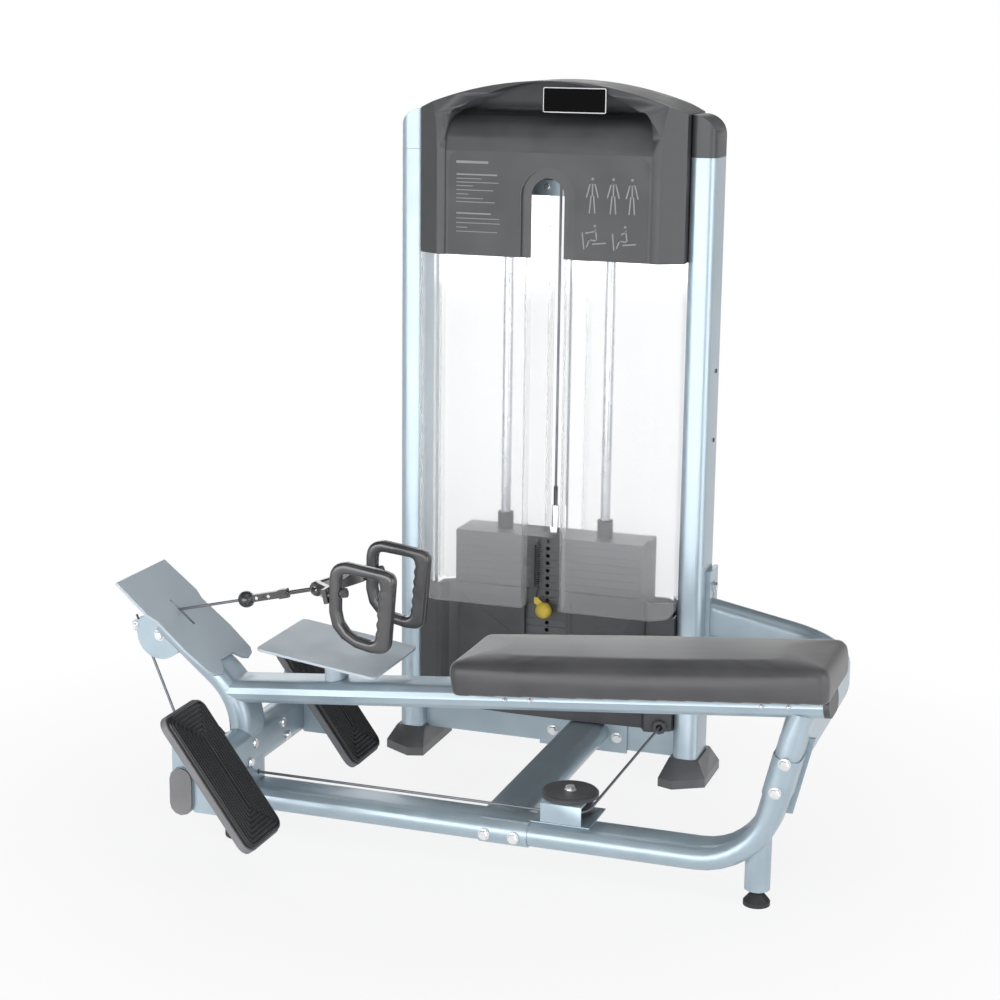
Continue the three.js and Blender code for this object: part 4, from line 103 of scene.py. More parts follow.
# %% Camera
LENS = 76.56
SENSOR = 36
YAW, PITCH, ROLL = (math.radians(a) for a in (18.89, 12.77, -0.69))
EYE = at(1418.09, -3869.98, 1696.84)


def look_matrix():
    """The camera's place and its three axes, from yaw, pitch and roll."""
    level = math.cos(PITCH)
    ahead = Vector((-math.sin(YAW) * level, math.cos(YAW) * level, -math.sin(PITCH)))
    right = Vector((math.cos(YAW), math.sin(YAW), 0))
    down = ahead.cross(right)
    turned_right = math.cos(ROLL) * right + math.sin(ROLL) * down
    turned_down = math.cos(ROLL) * down - math.sin(ROLL) * right
    axes = Matrix((turned_right, -turned_down, -ahead)).transposed().to_4x4()
    return Matrix.Translation(EYE) @ axes


camera_data = bpy.data.cameras.new("camera")
camera_data.lens = LENS
camera_data.sensor_width = SENSOR
camera = link_new("camera", camera_data)
camera.matrix_world = look_matrix()
bpy.context.scene.camera = camera
print("camera", [round(v, 3) for v in EYE])

# %% [markdown]
# ## Lamps
# Plain studio light. One large soft lamp near the camera hangs low, so it draws the bright
# line along the round side of each tube. Weaker ones stand above and at the right, and a
# fill stands behind. A single sun would be simpler, but its hard line would break the soft
# look of powder coat.

# %% Lamps
bpy.context.scene.view_settings.view_transform = "Standard"
MIDDLE = at(100, 200, 500)


def lamp(name, place, size, watts):
    data = bpy.data.lights.new(name, "AREA")
    data.shape = "RECTANGLE"
    data.size, data.size_y = size
    data.energy = watts
    obj = link_new(name, data)
    obj.location = place
    obj.rotation_euler = (MIDDLE - place).to_track_quat("-Z", "Y").to_euler()


lamp("front", at(-700, -3600, 650), size=(4.6, 2.2), watts=150)
lamp("above", at(700, -900, 3500), size=(3.0, 3.0), watts=24)
lamp("side", at(3300, -900, 1100), size=(2.4, 2.4), watts=60)
lamp("behind", at(-1300, 2800, 1700), size=(2.6, 2.0), watts=26)
print(len(bpy.data.lights), "lamps")

# %% [markdown]
# ## Small helpers for node trees
# World, floor, finishes and bolts are all built from nodes. One helper makes a node and
# another feeds its inputs. A sum, a change of range and a mix of two shaders come again and
# again, so each gets a helper of its own.

# %% Nodes, sums, ranges and mixes
WHITE = (1, 1, 1, 1)


def feed(tree, node, sources):
    """Links a node's inputs to sockets, or sets them to plain values."""
    for key, source in sources.items():
        if isinstance(source, bpy.types.NodeSocket):
            tree.links.new(source, node.inputs[key])
        else:
            node.inputs[key].default_value = source
    return node


def new_node(tree, kind, sources, **settings):
    node = tree.nodes.new(kind)
    for key, value in settings.items():
        setattr(node, key, value)
    return feed(tree, node, sources)


def calc(tree, operation, *values):
    """A maths node fed by numbers or sockets."""
    sources = dict(enumerate(values))
    return new_node(tree, "ShaderNodeMath", sources, operation=operation).outputs[0]


def ranged(tree, value, start, end, low, high):
    """Maps start to low and end to high, and holds there."""
    sources = {"Value": value, "From Min": start, "From Max": end, "To Min": low, "To Max": high}
    return new_node(tree, "ShaderNodeMapRange", sources).outputs[0]


def mix_shaders(tree, share, under, over):
    return new_node(tree, "ShaderNodeMixShader", {0: share, 1: under, 2: over}).outputs[0]


def seen_directly(tree, mirrored=None):
    """1 for what is seen, straight, through the screens, or mirrored in metal by a share."""
    ray = tree.nodes.new("ShaderNodeLightPath").outputs
    glossy = ray["Is Glossy Ray"]
    if mirrored:
        glossy = calc(tree, "MULTIPLY", glossy, mirrored)
    either = calc(tree, "MAXIMUM", ray["Is Camera Ray"], ray["Is Transmission Ray"])
    return calc(tree, "MAXIMUM", either, glossy)


# %% [markdown]
# ## The world
# The backdrop is white where it is seen, also through the screens and in metal near the
# horizon. As light, the world is white at the horizon and grey overhead, so the upward faces
# of the tubes stay a tone darker than their sides, as in the photograph. A picture of a
# studio would do the same, but a range on the height of the ray needs no file.

# %% World
HORIZON, ZENITH = 1.15, 0.15
BACKDROP_TOP = 0.5


def world_tree():
    """White where it is seen, and white to grey by height where it gives light."""
    world = bpy.data.worlds.new("studio")
    bpy.context.scene.world = world
    world.use_nodes = True
    tree = world.node_tree
    place = tree.nodes.new("ShaderNodeTexCoord").outputs["Generated"]
    split = new_node(tree, "ShaderNodeSeparateXYZ", {0: place})
    height = calc(tree, "ABSOLUTE", split.outputs["Z"])
    strength = ranged(tree, height, 0, 1, HORIZON, ZENITH)
    light = feed(tree, tree.nodes["Background"], {"Strength": strength})
    plain = new_node(tree, "ShaderNodeBackground", {"Color": WHITE})
    seen = seen_directly(tree, mirrored=ranged(tree, height, 0, BACKDROP_TOP, 1, 0))
    both = mix_shaders(tree, seen, light.outputs[0], plain.outputs[0])
    feed(tree, tree.nodes["World Output"], {0: both})
    return world


print("world", world_tree().name)

# %% [markdown]
# ## The floor
# A plain pale floor that takes the object's shadow. What is seen of it is mostly white
# already under the machine and wholly white further out, so it runs into the backdrop
# without an edge.

# %% Floor
FLOOR_HALF = 9.0
SHADE_NEAR, SHADE_FAR = 0.6, 1.6
WHITE_NEAR = 0.86
FLOOR_TONE = (0.86, 0.86, 0.87, 1)
FLOOR_ROUGH = 0.9
FLOOR_SHINE = 0.1


def new_material(name):
    """A material, its tree, its shader and the Object coordinates that patterns read."""
    mat = bpy.data.materials.new(name)
    mat.use_nodes = True
    tree = mat.node_tree
    place = tree.nodes.new("ShaderNodeTexCoord").outputs["Object"]
    return mat, tree, tree.nodes["Principled BSDF"], place


def floor_material():
    mat, tree, shader, place = new_material("floor")
    gloss = {"Roughness": FLOOR_ROUGH, "Specular IOR Level": FLOOR_SHINE}
    feed(tree, shader, {"Base Color": FLOOR_TONE, **gloss})
    pale = new_node(tree, "ShaderNodeEmission", {"Color": WHITE})
    far = new_node(tree, "ShaderNodeVectorMath", {0: place}, operation="LENGTH")
    white = ranged(tree, far.outputs["Value"], SHADE_NEAR, SHADE_FAR, WHITE_NEAR, 1)
    share = calc(tree, "MULTIPLY", white, seen_directly(tree))
    both = mix_shaders(tree, share, shader.outputs[0], pale.outputs[0])
    feed(tree, tree.nodes["Material Output"], {"Surface": both})
    return mat


def make_floor():
    mesh = bpy.data.meshes.new("floor")
    h = FLOOR_HALF
    mesh.from_pydata([(-h, -h, 0), (h, -h, 0), (h, h, 0), (-h, h, 0)], [], [(0, 1, 2, 3)])
    mesh.materials.append(floor_material())
    link_new("floor", mesh)


make_floor()
print("floor", FLOOR_HALF * 2, "m wide")

# %% [markdown]
# ## Finishes
# Every finish starts from a measured colour and adds what makes it real: a slow
# mottle in tone, a change of gloss, and a fine relief. All patterns read Object
# coordinates, and all objects keep their origin at zero, so a pattern runs on unbroken
# from one tube to the next. Colours are written as the screen shows them, 0 to 255.

# %% Tone, noise and relief
NOISE_SPAN = (0.3, 0.7)
GRAIN_DEPTH = 0.0002
GLOSS_SWING = 0.05
COAT_ROUGH = 0.12


def tone(r, g, b):
    """A screen colour as the linear values that a shader takes."""
    def linear(v):
        v /= 255
        return v / 12.92 if v <= 0.04045 else ((v + 0.055) / 1.055) ** 2.4

    return (linear(r), linear(g), linear(b), 1)


def noise_at(tree, scale, detail, place):
    sources = {"Scale": scale, "Detail": detail, "Vector": place}
    return new_node(tree, "ShaderNodeTexNoise", sources).outputs["Fac"]


def between_tones(tree, share, dark, light):
    factor = ranged(tree, share, *NOISE_SPAN, 0, 1)
    sources = {"A": tone(*dark), "B": tone(*light), "Factor": factor}
    return new_node(tree, "ShaderNodeMix", sources, data_type="RGBA").outputs["Result"]


def relief(tree, source, strength, depth):
    sources = {"Strength": strength, "Distance": depth, "Height": source}
    return new_node(tree, "ShaderNodeBump", sources).outputs[0]


# %% One finish, built from noise at two scales
MOTTLE, MOTTLE_DETAIL = 14, 3
GRAIN_DETAIL = 2


def finish(
    name, dark, light, rough, metal=0.0, coat=0.0, shine=0.5, grain=900, strength=0.25, speck=False
):
    """A finish in two tones: the slow mottle moves tone and gloss, the grain gives relief."""
    mat, tree, shader, place = new_material(name)
    slow = noise_at(tree, MOTTLE, MOTTLE_DETAIL, place)
    fine = noise_at(tree, grain, GRAIN_DETAIL, place)
    feed(tree, shader, {
        "Base Color": between_tones(tree, fine if speck else slow, dark, light),
        "Roughness": ranged(tree, slow, *NOISE_SPAN, rough - GLOSS_SWING, rough + GLOSS_SWING),
        "Normal": relief(tree, fine, strength, GRAIN_DEPTH),
        "Metallic": metal,
        "Coat Weight": coat,
        "Coat Roughness": COAT_ROUGH,
        "Specular IOR Level": shine,
    })
    return mat


# %% [markdown]
# Powder coat on the tubes: silver-blue with a metal flake under a clear coat. The flat
# plates carry a coarser, duller coat of the same paint, set a tone lighter: that lighter tone
# is painted light on their upward faces. It could be one finish for both, but the
# photograph shows the plates without the tubes' bright line.

# %% Painted finishes
PAINT = finish(
    "frame_paint", (163, 180, 191), (174, 190, 200), 0.38,
    metal=0.45, coat=0.2, grain=2600, strength=0.08,
)
# The frame's paint a tone lighter: the lighter tone is painted light on the plates' upward faces.
PLATE_PAINTED_LIGHT = finish(
    "plate_paint", (182, 195, 205), (193, 205, 214), 0.46,
    metal=0.15, grain=1500, strength=0.35, speck=True,
)
STACK = finish(
    "stack_paint", (84, 85, 88), (98, 99, 102), 0.5,
    metal=0.2, grain=700, strength=0.3, speck=True,
)
print(PAINT.name, PLATE_PAINTED_LIGHT.name, STACK.name)

# %% [markdown]
# Mouldings are dark grey with a fine spark-eroded grain. The foot covers are the same
# moulding set a tone lighter: that lighter tone is painted light on their tops. Rubber is
# rougher and a little speckled. The grips are the same rubber rubbed glossy by hands, so they
# get a clear coat.

# %% Moulded and rubber finishes
DARK = finish("dark_plastic", (66, 67, 70), (76, 77, 80), 0.46, grain=1400, strength=0.18)
# The dark moulding a tone lighter: the lighter tone is painted light on the foot covers' tops.
COVER_PAINTED_LIGHT = finish(
    "foot_cover_painted_light", (90, 91, 94), (102, 103, 106), 0.42,
    coat=0.2, grain=1400, strength=0.16,
)
GREY = finish("grey_plastic", (120, 120, 123), (133, 133, 136), 0.5, grain=1400, strength=0.18)
YELLOW = finish("yellow_plastic", (214, 188, 62), (232, 206, 84), 0.34, grain=1200, strength=0.12)
RUBBER = finish("rubber", (34, 34, 36), (48, 48, 50), 0.62, grain=1100, strength=0.4, speck=True)
GRIP = finish("grip_rubber", (58, 58, 60), (70, 70, 72), 0.3, coat=0.6, grain=1600, strength=0.12)
TREAD = finish("tread_rubber", (30, 30, 31), (38, 38, 39), 0.36, grain=700, strength=0.06)
print(len(bpy.data.materials), "materials")

# %% [markdown]
# Bare and plated steel mirror the white studio, so they need little colour of their own.
# The print and the plate are films, nearly smooth, and the plate's face hardly shines.

# %% Steel, cable and film finishes
STEEL = finish(
    "steel", (176, 178, 182), (202, 204, 208), 0.28, metal=0.9, grain=1800, strength=0.08
)
ZINC = finish("zinc", (216, 218, 220), (236, 237, 238), 0.24, metal=0.8, grain=1500, strength=0.1)
DARK_STEEL = finish(
    "dark_steel", (70, 71, 74), (92, 93, 96), 0.34, metal=0.6, grain=1500, strength=0.1
)
CABLE = finish("cable_coat", (104, 108, 114), (134, 138, 144), 0.4, metal=0.3, strength=0.3)
FILM = finish("placard_film", (62, 63, 65), (68, 69, 71), 0.5, grain=2200, strength=0.06)
PRINT = finish("placard_print", (132, 134, 136), (148, 150, 152), 0.5, grain=2000, strength=0.05)
RIM = finish("badge_rim", (214, 215, 216), (232, 233, 234), 0.4, grain=2000, strength=0.05)
BADGE = finish("badge_black", (5, 5, 6), (9, 9, 10), 0.6, shine=0.05, grain=2000, strength=0.04)
print(len(bpy.data.materials), "materials")

# %% [markdown]
# The seat's cover is a leather-like vinyl: small closed pebbles with creases between them.
# Voronoi cells give the pebbles, and a slow noise lets the cover look a little used.

# %% Vinyl
VINYL_DARK, VINYL_LIGHT = (66, 66, 69), (79, 79, 82)
VINYL_ROUGH = (0.42, 0.52)
SHEEN, SHEEN_ROUGH = 0.6, 0.4
WEAR_SCALE, WEAR_DETAIL = 9, 4
PEBBLES_PER_METRE = 620
PEBBLE_STRENGTH, PEBBLE_DEPTH = 0.3, 0.0003


def vinyl():
    mat, tree, shader, place = new_material("leatherette")
    slow = noise_at(tree, WEAR_SCALE, WEAR_DETAIL, place)
    cells = new_node(tree, "ShaderNodeTexVoronoi", {"Scale": PEBBLES_PER_METRE, "Vector": place})
    feed(tree, shader, {
        "Base Color": between_tones(tree, slow, VINYL_DARK, VINYL_LIGHT),
        "Roughness": ranged(tree, slow, *NOISE_SPAN, *VINYL_ROUGH),
        "Normal": relief(tree, cells.outputs["Distance"], PEBBLE_STRENGTH, PEBBLE_DEPTH),
        "Sheen Weight": SHEEN,
        "Sheen Roughness": SHEEN_ROUGH,
    })
    return mat


VINYL = vinyl()
print(VINYL.name, PEBBLES_PER_METRE, "pebbles to the metre")

# %% [markdown]
# The tower's four screens are frosted acrylic: things right behind them show as soft
# shadows, and things far behind vanish in white. Rough transmission does this by itself,
# mixed with a milky part that stays in the sheet. A see-through mix of two shaders would be
# faster but couldn't blur what stands behind.

# %% Frosted sheet
CLEAR_SHARE = 0.9
SHEET_BEND = 1.1
SHEET_TONE = (0.97, 0.975, 0.98, 1)
SHEET_ROUGH = (0.17, 0.21)
FROST_SCALE, CLOUD_SCALE = 1700, 12
FROST_STRENGTH, FROST_DEPTH = 0.03, 0.0001


def frosted():
    mat, tree, shader, place = new_material("frosted")
    fine = noise_at(tree, FROST_SCALE, GRAIN_DETAIL, place)
    slow = noise_at(tree, CLOUD_SCALE, GRAIN_DETAIL, place)
    feed(tree, shader, {
        "Base Color": SHEET_TONE,
        "IOR": SHEET_BEND,
        "Transmission Weight": CLEAR_SHARE,
        "Roughness": ranged(tree, slow, *NOISE_SPAN, *SHEET_ROUGH),
        "Normal": relief(tree, fine, FROST_STRENGTH, FROST_DEPTH),
    })
    return mat


FROST = frosted()
print(FROST.name, "lets through", CLEAR_SHARE)

# %% [markdown]
# ## Finishing a solid's edges
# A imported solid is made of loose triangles. Its copy is merged, its flat faces are joined
# again, and a narrow bevel breaks the sharp edges so that they catch the light. Faces that
# meet at a small angle, as round a tube, are shaded smooth.

# %% Copy and new object
MERGE = 0.00001
FLAT = math.radians(0.6)
SHARP = math.radians(38)


@contextmanager
def open_mesh(mesh):
    """Opens a mesh for editing and writes it back at the end."""
    bm = bmesh.new()
    bm.from_mesh(mesh)
    yield bm
    bm.to_mesh(mesh)
    bm.free()


def merged_copy(node):
    mesh = frame["nodes"][node].data.copy()
    with open_mesh(mesh) as bm:
        bmesh.ops.remove_doubles(bm, verts=bm.verts, dist=MERGE)
    return mesh


def new_object(name, mesh, *materials):
    mesh.materials.clear()
    for material in materials:
        mesh.materials.append(material)
    return link_new(name, mesh)


def smooth(obj, angle=SHARP):
    obj.data.shade_smooth()
    obj.data.set_sharp_from_angle(angle=angle)
    return obj


def evaluated(obj):
    """The mesh that an object's modifiers or curve give."""
    bpy.context.view_layer.update()
    graph = bpy.context.evaluated_depsgraph_get()
    return bpy.data.meshes.new_from_object(obj.evaluated_get(graph), depsgraph=graph)


def settle(obj):
    """Applies the modifiers by keeping the evaluated mesh."""
    mesh = evaluated(obj)
    obj.modifiers.clear()
    obj.data = mesh
    return obj


def keep(obj, body, slot, *nodes):
    """Lets a piece ride on its body and stand for the solids that it replaces."""
    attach(obj, body)
    if nodes:
        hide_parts(*nodes)
    return obj


# %% Dress one solid
BEVEL_FROM = math.radians(42)
BEVEL_STEPS = 2
SKINS = {}


def joined_flats(node):
    """A merged copy whose flat faces are whole again."""
    mesh = merged_copy(node)
    with open_mesh(mesh) as bm:
        bmesh.ops.dissolve_limit(bm, angle_limit=FLAT, verts=bm.verts, edges=bm.edges)
    return mesh


def dress(node, material, edge):
    obj = smooth(new_object(node + "_skin", joined_flats(node), material))
    if edge:
        bevel = obj.modifiers.new("edge", "BEVEL")
        bevel.width = edge
        bevel.segments = BEVEL_STEPS
        bevel.limit_method = "ANGLE"
        bevel.angle_limit = BEVEL_FROM
        bevel.harden_normals = True
    else:
        even = obj.modifiers.new("even", "WEIGHTED_NORMAL")
        even.keep_sharp = True
    settle(obj)
    keep(obj, BODY_OF[node], SLOT_OF[node], node)
    SKINS[node] = obj


# %% [markdown]
# ## Which solid gets which finish
# The table reads like the machine's parts list. The number after a finish is the bevel in
# millimetres for parts with cut or moulded edges. Tubes need none: their ends are hidden in
# joints.

# %% Dress the solids
FINISHES = [
    (PAINT, 0, "top_cross_beam crossbeam lower_tube rail brace_arm lower_post foot_beam"),
    (PAINT, 0, "upright_tube base_cross_member"),
    (PAINT, 0.8, "left_post right_post left_post_cap redirect_bracket"),
    (PLATE_PAINTED_LIGHT, 1.0, "slope_plate step_plate"),
    (DARK, 0.8, "right_post_cap front_lower_shroud rear_lower_shroud rear_top_shroud"),
    (DARK, 0, "front_top_shroud rail_end_cap redirect_cover"),
    (GRIP, 0, "top_pulley rear_base_pulley side_base_pulley redirect_pulley"),
    (GRIP, 0, "lower_foot_pulley upper_foot_pulley cable_link v_bracket"),
    (COVER_PAINTED_LIGHT, 1.2, "left_foot_cover right_foot_cover"),
    (GREY, 0.8, "near_beam_cap far_beam_cap near_foot_plate far_foot_plate"),
    (RUBBER, 0.8, "round_foot"),
    (RUBBER, 0, "leveling_foot left_rod_collar right_rod_collar stack_cushion"),
    (STEEL, 0, "left_guide_rod right_guide_rod"),
    (STACK, 0, "resting_plates lifted_plates head_plate"),
    (FROST, 0, "front_left_screen front_right_screen rear_left_screen rear_right_screen"),
    (YELLOW, 0, "selector_pin"),
    (CABLE, 0, "frame_cable"),
]
for material, edge, nodes in FINISHES:
    for node in nodes.split():
        dress(node, material, edge * MM)
print(len(SKINS), "solids dressed")

# %% [markdown]
# Some solids hold two materials: the pin is steel with a moulded knob, the levelling foot
# has a steel stem, and the head plate carries a plated nut and a dark sleeve. A face takes
# the second finish where its middle passes a test. Cutting the solid in two would do the
# same but leave an open seam.

# %% Paint part of a piece
SHAFT_FROM_Y = 612
STEM_FROM_Z = 24.5
ROD_BELOW_Z = 526
NUT_FROM_Z = 545.2
SLEEVE_FROM_Z = 610


def paint(node, material, test):
    obj = SKINS[node]
    obj.data.materials.append(material)
    index = len(obj.data.materials) - 1
    hits = [p for p in obj.data.polygons if test((p.center - at(0, 0, 0)) / MM)]
    for p in hits:
        p.material_index = index
    print(node, len(hits), "faces in", material.name)


paint("selector_pin", STEEL, lambda c: c.y > SHAFT_FROM_Y)
paint("leveling_foot", STEEL, lambda c: c.z > STEM_FROM_Z)
paint("head_plate", ZINC, lambda c: c.z > NUT_FROM_Z)
paint("head_plate", DARK_STEEL, lambda c: c.z > SLEEVE_FROM_Z)
paint("head_plate", STEEL, lambda c: c.z < ROD_BELOW_Z)

# %% [markdown]
# The foot plates are grey trays on gussets, and the gussets wear the tubes' paint. The
# plates slope, so the test measures how deep a face lies under the slope's surface.

# %% Paint the gussets
PEDAL_RUN, PEDAL_FALL = 185.0, 255.5
PEDAL_TURN = math.atan2(PEDAL_FALL, PEDAL_RUN)
PEDAL_TOP_X, PEDAL_TOP_Z = -474, 360
TRAY_DEPTH = 26


def under_tray(c):
    along = (c.x - PEDAL_TOP_X) * math.sin(PEDAL_TURN)
    return along + (c.z - PEDAL_TOP_Z) * math.cos(PEDAL_TURN) < -TRAY_DEPTH


for node in ("near_foot_plate", "far_foot_plate"):
    paint(node, PAINT, under_tray)

# %% [markdown]
# ## Geometry Nodes in this lesson
# Two things on the machine repeat: bolt heads and the lanes of the foot treads. Each gets a
# node tree with named inputs for its sizes. Both trees begin with the same kinds of sockets
# and end by making their instances real and giving them a material, so two helpers do that.

# %% Begin, end and run a tree
def begin_tree(name, sizes, count):
    """A tree that takes geometry, named sizes, a named count and a material."""
    tree = bpy.data.node_groups.new(name, "GeometryNodeTree")
    sockets = [("Geometry", "Geometry"), *((size, "Float") for size in sizes)]
    sockets += [(count, "Int"), ("Material", "Material")]
    for label, kind in sockets:
        tree.interface.new_socket(label, in_out="INPUT", socket_type="NodeSocket" + kind)
    tree.interface.new_socket("Geometry", in_out="OUTPUT", socket_type="NodeSocketGeometry")
    return tree, tree.nodes.new("NodeGroupInput").outputs


def end_tree(tree, geometry, material):
    real = new_node(tree, "GeometryNodeRealizeInstances", {0: geometry})
    sources = {"Geometry": real.outputs[0], "Material": material}
    coat = new_node(tree, "GeometryNodeSetMaterial", sources)
    new_node(tree, "NodeGroupOutput", {0: coat.outputs[0]})
    return tree


def run_tree(name, mesh, tree, **values):
    """Sets the inputs by their sockets' identifiers and keeps the plain mesh."""
    items = tree.interface.items_tree
    names = {i.name: i.identifier for i in items if i.item_type == "SOCKET" and i.in_out == "INPUT"}
    obj = link_new(name, mesh)
    modifier = obj.modifiers.new("tree", "NODES")
    modifier.node_group = tree
    for key, value in values.items():
        modifier[names[key.replace("_", " ")]] = value
    return settle(obj)


# %% [markdown]
# ## Bolts
# The machine is held together by plated hex bolts, all alike: a washer, a head and a small
# chamfer on top. One tree makes that head once and puts it on every point of a small mesh,
# turned along the point's own direction. Its inputs are the head's sizes, so the same tree
# also makes round rivets and socket heads.

# %% The bolt tree
BOLT_SIZES = ("Head radius", "Head height", "Washer radius", "Washer height", "Chamfer")
WASHER_SIDES = 28


def cone_node(tree, sides, bottom, top, depth, lift=0):
    sizes = {"Vertices": sides, "Radius Bottom": bottom, "Radius Top": top, "Depth": depth}
    cone = new_node(tree, "GeometryNodeMeshCone", sizes)
    shift = new_node(tree, "ShaderNodeCombineXYZ", {"Z": lift})
    sources = {"Geometry": cone.outputs["Mesh"], "Translation": shift.outputs[0]}
    return new_node(tree, "GeometryNodeTransform", sources).outputs[0]


def bolt_head(tree, given):
    radius, height, washer, thick, chamfer = (given[size] for size in BOLT_SIZES)
    sides = given["Sides"]
    top = calc(tree, "ADD", thick, height)
    narrow = calc(tree, "SUBTRACT", radius, chamfer)
    joined = tree.nodes.new("GeometryNodeJoinGeometry")
    feed(tree, joined, {0: cone_node(tree, WASHER_SIDES, washer, washer, thick)})
    feed(tree, joined, {0: cone_node(tree, sides, radius, radius, height, thick)})
    feed(tree, joined, {0: cone_node(tree, sides, radius, narrow, chamfer, top)})
    return joined.outputs[0]


def bolt_tree():
    tree, given = begin_tree("bolt_heads", BOLT_SIZES, "Sides")
    read = "GeometryNodeInputNamedAttribute"
    facing = new_node(tree, read, {"Name": "facing"}, data_type="FLOAT_VECTOR")
    sources = {"Vector": facing.outputs["Attribute"]}
    turn = new_node(tree, "FunctionNodeAlignRotationToVector", sources, axis="Z")
    put = new_node(tree, "GeometryNodeInstanceOnPoints", {
        "Points": given["Geometry"],
        "Instance": bolt_head(tree, given),
        "Rotation": turn.outputs[0],
    })
    return end_tree(tree, put.outputs[0], given["Material"])


BOLTS = bolt_tree()
print(BOLTS.name, len(BOLTS.nodes), "nodes")

# %% [markdown]
# The points are a mesh without faces. Each carries the direction its head faces as an
# attribute, which the tree reads. One call makes one row of like bolts as one piece, so a
# row rides on one body.

# %% Put bolts on points
WASHER_THICK = 1.6
BOLT_SHARP = math.radians(30)


def points_mesh(name, spots):
    mesh = bpy.data.meshes.new(name)
    mesh.from_pydata([tuple(place) for place, way in spots], [], [])
    facing = mesh.attributes.new("facing", "FLOAT_VECTOR", "POINT")
    for i, (place, way) in enumerate(spots):
        facing.data[i].vector = way
    return mesh


def bolts(
    name, spots, body="frame", head=9.0, height=5.5, washer=11.5, chamfer=1.4, sides=6,
    material=ZINC,
):
    """Like heads, sized in millimetres, at places with directions, as one piece."""
    obj = run_tree(
        name,
        points_mesh(name, spots),
        BOLTS,
        Head_radius=head * MM,
        Head_height=height * MM,
        Washer_radius=washer * MM,
        Washer_height=WASHER_THICK * MM,
        Chamfer=chamfer * MM,
        Sides=sides,
        Material=material,
    )
    keep(smooth(obj, BOLT_SHARP), body, "steel")
    print(name, len(spots))


# %% [markdown]
# The bolts' places were read off the photograph and laid on the surface that each one
# clamps. Each row is a place in the machine's millimetres and the direction the head faces.

# %% Hex bolts on the frame
TUBE_SIDE = -53
BASE_FRONT = 635
POST_SIDE = 372
HEEL_X, HEEL_Z = -657, 417
HEEL_SIDE = -16.3
hex_spots = [
    (at(13, BASE_FRONT, 80), TO_FRONT),
    (at(168, BASE_FRONT, 80), TO_FRONT),
    (at(86, TUBE_SIDE, 88), TO_FRONT),
    (at(148, TUBE_SIDE, 88), TO_FRONT),
    (at(692, TUBE_SIDE, 314), TO_FRONT),
    (at(676, TUBE_SIDE, 254), TO_FRONT),
    (at(POST_SIDE, 690, 448), TO_RIGHT),
    (at(HEEL_X, HEEL_SIDE, HEEL_Z), TO_FRONT),
    (at(237, 45, 169), TO_TOP),
]
bolts("hex_bolts", hex_spots, head=10.4, washer=12.6)
small_spots = [(at(-714, HEEL_SIDE, 433), TO_FRONT), (at(-39, 690, 1331), TO_FRONT)]
bolts("small_bolts", small_spots, head=6, height=4, washer=8, chamfer=1)

# %% Domed bolts and plugs
BEAM_FACE = -439
PLUG_FACE = 362
dome_places = [(125, 206), (147, 169), (-16, 204), (-38, 169)]
domes = [(at(BEAM_FACE, y, z), TO_RIGHT) for y, z in dome_places]
bolts("dome_bolts", domes, head=11, height=1.2, washer=11, chamfer=2.8, sides=24)
plugs = [(at(PLUG_FACE, y, z), TO_RIGHT) for y, z in ((680, 942), (677, 787))]
bolts("post_plugs", plugs, head=4, height=0.2, washer=5, chamfer=0.6, sides=20, material=DARK)

# %% [markdown]
# Small fittings on the moving parts ride with them: two bright rivets in the cable's link,
# and two dark socket screws in the near arm of the bracket. Small dark discs in the link's
# hole and in the screws' sockets are painted shade. The pull leaves the foot end at
# a slant, so their places are measured along the pull from the ball.

# %% Fittings on the link and the bracket
PULL_TURN = math.radians(13.7)
PULL_WAY = Vector((math.cos(PULL_TURN), 0, math.sin(PULL_TURN)))
BALL = at(-461, 0, 511.1)
LINK_SIDE = -6.6
LINK_RIVETS = (27.3, 55.2)
LINK_HOLE = 41.7


def on_pull(x, y):
    return BALL + (PULL_WAY * x + Vector((0, y, 0))) * MM


rivets = [(on_pull(x, LINK_SIDE), TO_FRONT) for x in LINK_RIVETS]
bolts("link_rivets", rivets, "puller", head=3.1, height=0.5, washer=3.6, chamfer=0.4, sides=16)
# A dark disc over the link's hole: painted shade inside the hole.
hole_shade = [(on_pull(LINK_HOLE, LINK_SIDE), TO_FRONT)]
bolts(
    "link_hole_painted_shade", hole_shade, "puller",
    head=1.6, height=0.1, washer=2.0, chamfer=0.1, sides=14, material=DARK,
)

# %% Screws of the bracket's arm
ARM_OUT = PULL_WAY * -0.8 + Vector((0, -0.6, 0))
ARM_ALONG = PULL_WAY * 0.6 + Vector((0, -0.8, 0))
ARM_APEX = on_pull(176, 0)
ARM_HALF = 4.6
SCREWS_ALONG = (17, 33)
SOCKET_OUT = 3.9
screws = [(ARM_APEX + (ARM_ALONG * d + ARM_OUT * ARM_HALF) * MM, ARM_OUT) for d in SCREWS_ALONG]
sockets = [(place + ARM_OUT * SOCKET_OUT * MM, way) for place, way in screws]
bolts(
    "arm_screws", screws, "yoke",
    head=5.2, height=1.4, washer=6.4, chamfer=1.0, sides=18, material=DARK_STEEL,
)
# Dark discs on the screw heads: painted shade in their hex sockets.
bolts("arm_socket_painted_shade", sockets, "yoke", head=2.6, height=0.1, washer=2.7, chamfer=0.1, material=DARK)

# %% [markdown]
# The pad is held from below by studs. The four on the near side show as bright ends between
# the pad and the rail, and follow the rail's rise.

# %% Pad studs
RAIL_RISE = math.tan(math.radians(5.24))
RAIL_SIDE, RAIL_BASE_Z = -50.5, 366
STUD_TILT = Vector((0.35, -0.85, -0.4))
studs = [(at(x, RAIL_SIDE, RAIL_BASE_Z + x * RAIL_RISE), STUD_TILT) for x in (125, 177, 641, 693)]
bolts("pad_studs", studs, head=3.2, height=3.0, washer=3.6, chamfer=0.8, sides=14)

